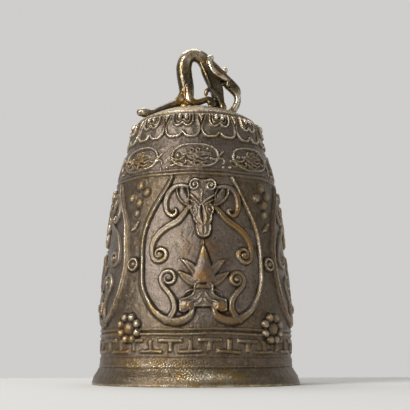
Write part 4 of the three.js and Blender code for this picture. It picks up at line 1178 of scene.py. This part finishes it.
dragon = {  # rows of x, y, z, half width in the dragon's plane, half depth
    "back": [(-8.2, 0, 219, 5.4, 5.6), (-8, 0, 232, 5.8, 5.8), (-8.4, 0, 243, 6.4, 6),
             (-9.9, 0, 252.7, 6.6, 6.1), (-10.4, 0, 261.4, 6.5, 6.1), (-7.6, 0, 268.9, 6, 6),
             (-1.8, 0, 271.5, 5.5, 5.8), (4.5, 0, 268.8, 5.8, 5.8), (8.6, 0, 262.4, 5.6, 5.2),
             (11.4, 0, 256.6, 4.4, 4)],
    "neck": [(7.4, 0, 264, 4.6, 3.6), (9.6, 0, 259, 6, 3.7), (13.6, 0, 250.5, 6.4, 3.6),
             (16.6, 0, 242.3, 5.7, 3.6), (18.2, 0, 233, 5, 3.9), (19, 0, 226, 4.9, 4.6),
             (19, 0, 218, 5.2, 5.2)],
    "fin": [(3.6, -3.6, 263.4, 1, 1), (6.6, -4.2, 256.4, 1.2, 1.2), (10, -4.2, 248.4, 1.3, 1.2),
            (12.4, -4, 241, 1.1, 1.1)],
    "tail": [(-9.8, -1.5, 243, 3.4, 3.6), (-11.6, -1.8, 234.5, 4.3, 4.3), (-16.2, -2.4, 228.8, 4, 4.4),
             (-22.6, -3.1, 225.9, 3.4, 4.1), (-29.6, -3.8, 223, 2.9, 3.7), (-36, -4.6, 219.9, 2.3, 3.2)],
    "tailKnob": [(-34.6, -4.6, 220.2, 2, 2.6), (-39.2, -4.9, 219.2, 3.4, 4),
                 (-44.2, -5, 219.7, 4.1, 4.4), (-46.6, -5, 219.6, 3.2, 3.8)],
    "foreleg": [(-6.4, -1.2, 254, 2.6, 2.4), (-6.8, -3.4, 245.4, 3.1, 2.8), (-7, -4.8, 237.9, 3.3, 3),
                (-6, -5.8, 231.8, 3.5, 3), (-1.9, -6.2, 228.8, 3, 2.8), (3.3, -6.5, 229.6, 2.8, 2.8),
                (9, -6.8, 231.6, 2.5, 2.6), (13.2, -6.9, 229.8, 2.1, 2.4), (14, -6.9, 226.8, 1.9, 2.2),
                (11, -6.9, 225.4, 1.7, 2)],
    "claw": [(7.6, -5, 236.4, 1.7, 2), (8.3, -5.2, 239.4, 1.9, 2), (11.6, -5.4, 240.6, 2.1, 2.2),
             (16, -5.2, 236.8, 2.6, 2.4), (19.6, -5, 230.8, 2.8, 2.6), (21.9, -4.6, 225.3, 3.1, 3)],
    "skull": [(10.6, 0, 264, 4.6, 5.6), (14.4, 0, 260.2, 4.9, 5.7), (19.2, 0, 255.6, 4.5, 5.2),
              (24.8, 0, 250.8, 4, 4.7), (30.2, 0, 245.8, 3.8, 4.1), (34.4, 0, 241.4, 3.1, 3.5),
              (36, 0, 239, 1.6, 2.6)],
    "beard": [(25.4, 0, 246.8, 3.2, 3.8), (30.4, 0, 242.6, 3.6, 3.9), (34.1, 0, 237.4, 3.1, 3.7),
              (34.3, 0, 231.4, 2.9, 3.6), (31.6, 0, 225.6, 3.1, 3.6), (28.6, 0, 222.2, 3.1, 3.6),
              (26.6, 0, 218.4, 3.1, 3.6)],
    "rim": [(10.6, 3.6, 268.6, 1.9, 1.9), (10.7, 5.2, 263.8, 2.1, 2), (12.8, 5.9, 258.4, 2.2, 2.1),
            (16.8, 5.9, 254, 2.3, 2.1), (22.2, 5.3, 250.8, 2.1, 1.9), (27.2, 4.2, 248.2, 1.7, 1.6)],
    "legBase": ((-8.2, 0, 225.6), (7.2, 7, 5.4)),
    "knobs": (((12.2, 2.6, 268.8), (2.4, 2.5, 2.7)), ((23.8, 1.9, 258.6), (2.6, 2.5, 2.5)),
              ((26.4, 4.2, 245.4), (2.2, 1.8, 2.2))),
    "ball": ((10.8, -6.9, 228.6), (2.6, 2.8, 2.6)),
    "tenons": (-8.2, 19),
    # x, z, reach in mm and how much more or less the metal is rubbed there, with a painted highlight on the
    # arch's top left and painted shade on the neck
    "rubbedAndPaintedLight": ((11, 265, 5, 0.5), (14, 256, 5, 0.5), (22, 251, 5, 0.5), (36, 237, 6, 0.5), (33, 226, 6, 0.4),
               (14, 247, 6, -0.6), (17.5, 236, 7, -0.7), (-7, 234, 6, 0.4), (-13, 231, 6, 0.3),
               (4, 274, 6, 0.4), (-9, 270, 9, 0.55), (-6, 246, 6, -0.2), (33, 247, 5, -0.4),
               (-44, 220, 6, 0.3), (12, 269, 3, 0.6), (24, 259, 3, 0.6)),
    "mend": 0.42,  # mm cell of the melted surface
    "soft": 5,  # passes of softening
    "uneven": 0.10,  # mm of unevenness of the cast
}


def limbGrid(rows, around=26, square=1.0):
    # Elliptical sections swept along a spline, closed by rounded ends. A power below 1 makes them boxier
    rows = np.asarray(rows, float)
    length = np.linalg.norm(np.diff(rows[:, :3], axis=0), axis=1).sum()
    path = smoothLine(rows, max(int(length / 0.7), 8))
    p, half = path[:, :3], path[:, 3:5]
    ahead = np.gradient(p, axis=0)
    ahead /= np.linalg.norm(ahead, axis=1, keepdims=True)
    lift = np.array([0.0, 1.0, 0.0]) - ahead * ahead[:, 1:2]
    lift /= np.linalg.norm(lift, axis=1, keepdims=True)
    aside = np.cross(ahead, lift)
    turn = np.radians([25, 48, 68, 84])
    s, c = np.sin(turn), np.cos(turn)
    first = p[0] - ahead[0] * (s * half[0].min())[::-1, None]
    last = p[-1] + ahead[-1] * (s * half[-1].min())[:, None]
    centre = np.concatenate([first, p, last])
    scale = np.concatenate([half[0] * c[::-1, None], half, half[-1] * c[:, None]])
    lift = np.concatenate([np.repeat(lift[:1], 4, 0), lift, np.repeat(lift[-1:], 4, 0)])
    aside = np.concatenate([np.repeat(aside[:1], 4, 0), aside, np.repeat(aside[-1:], 4, 0)])
    a = np.arange(around) / around * 2 * np.pi
    x = np.sign(np.cos(a)) * np.abs(np.cos(a)) ** square
    y = np.sign(np.sin(a)) * np.abs(np.sin(a)) ** square
    return (centre[:, None] + (scale[:, :1] * x)[..., None] * aside[:, None]
            + (scale[:, 1:] * y)[..., None] * lift[:, None])


def ballGrid(centre, radii, around=24, levels=14):
    # An ellipsoid as rings of points from its foot to its top
    v = (np.arange(levels) + 0.5)[:, None] / levels * np.pi
    a = np.arange(around) / around * 2 * np.pi
    unit = np.stack(np.broadcast_arrays(np.sin(v) * np.cos(a), np.sin(v) * np.sin(a), -np.cos(v)), 2)
    return np.asarray(centre) + unit * np.asarray(radii)


def heap(grids):
    # Puts closed grids into one list of points and faces; each grid is capped at both ends
    points, loops, starts, base, read = [], [], [], 0, 0
    for g in grids:
        rows, cols = g.shape[:2]
        quads = gridLoops(rows, cols, True, False) + base
        ends = [np.arange(cols)[::-1] + base, np.arange(cols) + base + (rows - 1) * cols]
        for block, size in ((quads.ravel(), 4), (ends[0], cols), (ends[1], cols)):
            loops.append(block)
            starts.append(read + np.arange(0, len(block), size))
            read += len(block)
        points.append(g.reshape(-1, 3))
        base += rows * cols
    return np.concatenate(points), np.concatenate(loops), np.concatenate(starts)


def melted(grids, cell):
    # Overlapping forms are melted into one skin: a voxel remesh in mm, read back as points and faces
    points, loops, starts = heap(grids)
    clay = writeMesh("clay", points / metre, loops, starts, handleBronze)
    melt = clay.modifiers.new("melt", "REMESH")
    melt.mode = "VOXEL"
    melt.voxel_size = cell
    done = clay.evaluated_get(bpy.context.evaluated_depsgraph_get()).to_mesh()
    v = np.empty(len(done.vertices) * 3, np.float32)
    done.vertices.foreach_get("co", v)
    f = np.empty(len(done.loops), np.int32)
    done.loops.foreach_get("vertex_index", f)
    s = np.empty(len(done.polygons), np.int32)
    done.polygons.foreach_get("loop_start", s)
    mesh = clay.data
    bpy.data.objects.remove(clay)
    bpy.data.meshes.remove(mesh)
    return v.reshape(-1, 3).astype(float), f, s


def neighbourMean(points, faces, times, share=0.6):
    # Each pass moves a point towards the mean of the points it shares an edge with
    a = faces.ravel()
    b = np.roll(faces, -1, 1).ravel()
    count = np.bincount(a, minlength=len(points)) + np.bincount(b, minlength=len(points))
    p = points.copy()
    for _ in range(times):
        mean = [np.bincount(a, p[b, i], len(p)) + np.bincount(b, p[a, i], len(p)) for i in range(p.shape[1])]
        mean = np.stack(mean, 1) / count[:, None]
        p += (mean - p) * share
    return p


def pointNormals(points, faces):
    # Each point gets the mean of the cross products of the diagonals of the faces round it
    q = points[faces]
    n = np.cross(q[:, 2] - q[:, 0], q[:, 3] - q[:, 1])
    total = np.stack([np.bincount(faces.ravel(), np.repeat(n[:, i], 4), len(points)) for i in range(3)], 1)
    return total / np.maximum(np.linalg.norm(total, axis=1, keepdims=True), 1e-12)


def sculpted(name, grids, material, d):
    # Melts the forms, softens them, adds the casting's unevenness and reads crests and hollows off the shape:
    # crests show rubbed metal, hollows soil and painted shade
    points, faces, starts = melted(grids, d["mend"])
    faces = faces.reshape(-1, 4)
    points = neighbourMean(points, faces, d["soft"])
    normal = pointNormals(points, faces)
    phase = points @ np.array([[1.1, 0.5, -0.7], [-0.4, 1.3, 0.6], [0.8, -0.9, 1.0]])
    uneven = d["uneven"] * np.sin(phase[:, 0]) * np.sin(phase[:, 1] * 0.8 + 1) * np.sin(phase[:, 2] * 0.9 + 2)
    points += normal * uneven[:, None]
    far = neighbourMean(points, faces, 50)
    bulge = neighbourMean(((points - far) * normal).sum(1)[:, None], faces, 12)[:, 0]
    # crests show rubbed metal; the listed places add rubbing, a painted highlight on the arch's top left and
    # painted shade on the neck
    wornAndLitAt = 0.3 + bulge * 0.8
    for x, z, reach, more in d["rubbedAndPaintedLight"]:
        wornAndLitAt = wornAndLitAt + more * np.exp(-((points[:, 0] - x) ** 2 + (points[:, 2] - z) ** 2) / reach ** 2)
    warmAt = np.exp(-((points[:, 0] + 10) ** 2 + (points[:, 2] - 231) ** 2) / 9 ** 2)
    # hollows are darker, as soil and painted shade
    fields = {"wearAndPaintedLight": wornAndLitAt, "soilAndShade": rise(-bulge / 0.7), "inPanel": np.zeros(len(points)), "warm": warmAt}
    print(name, "has", 2 * len(faces), "triangles")
    return writeMesh(name, points, faces.ravel(), starts, material, fields)


def makeDragon(d):
    # Body, head, legs and tail from their rows, with what is on both sides made twice, melted into one figure
    forms = [limbGrid(d[part]) for part in ("back", "tail", "tailKnob", "foreleg", "claw", "skull", "beard")]
    forms.append(limbGrid(d["neck"], 32, 0.45))
    for side in (-1, 1):
        forms += [limbGrid(np.array(d[part]) * (1, side, 1, 1, 1), 16) for part in ("rim", "fin")]
        forms += [ballGrid((x, side * y, z), radii) for (x, y, z), radii in d["knobs"]]
    forms += [ballGrid(*d["ball"]), ballGrid(*d["legBase"])]
    for x in d["tenons"]:  # they go down through the crown
        forms.append(limbGrid([(x, 0, 211.6, 3.1, 3.1), (x, 0, 216, 3.1, 3.1), (x, 0, 221, 3.1, 3.1)], 20))
    return sculpted("dragon_arch", forms, handleBronze, d)


arch = makeDragon(dragon)
dress(arch, "handle_bronze", "dragon_handle")
print("dragon made")


finishes = {
    "clapper_staple": clapperIron,
    "clapper_shank": clapperIron,
    "bob_pin": clapperIron,
    "clapper_bob": handleBronze,
    "tenon_rove_1": handleBronze,
    "tenon_rove_2": handleBronze,
}
for node, finish in finishes.items():
    bpy.data.objects[node].data.materials.clear()
    bpy.data.objects[node].data.materials.append(finish)
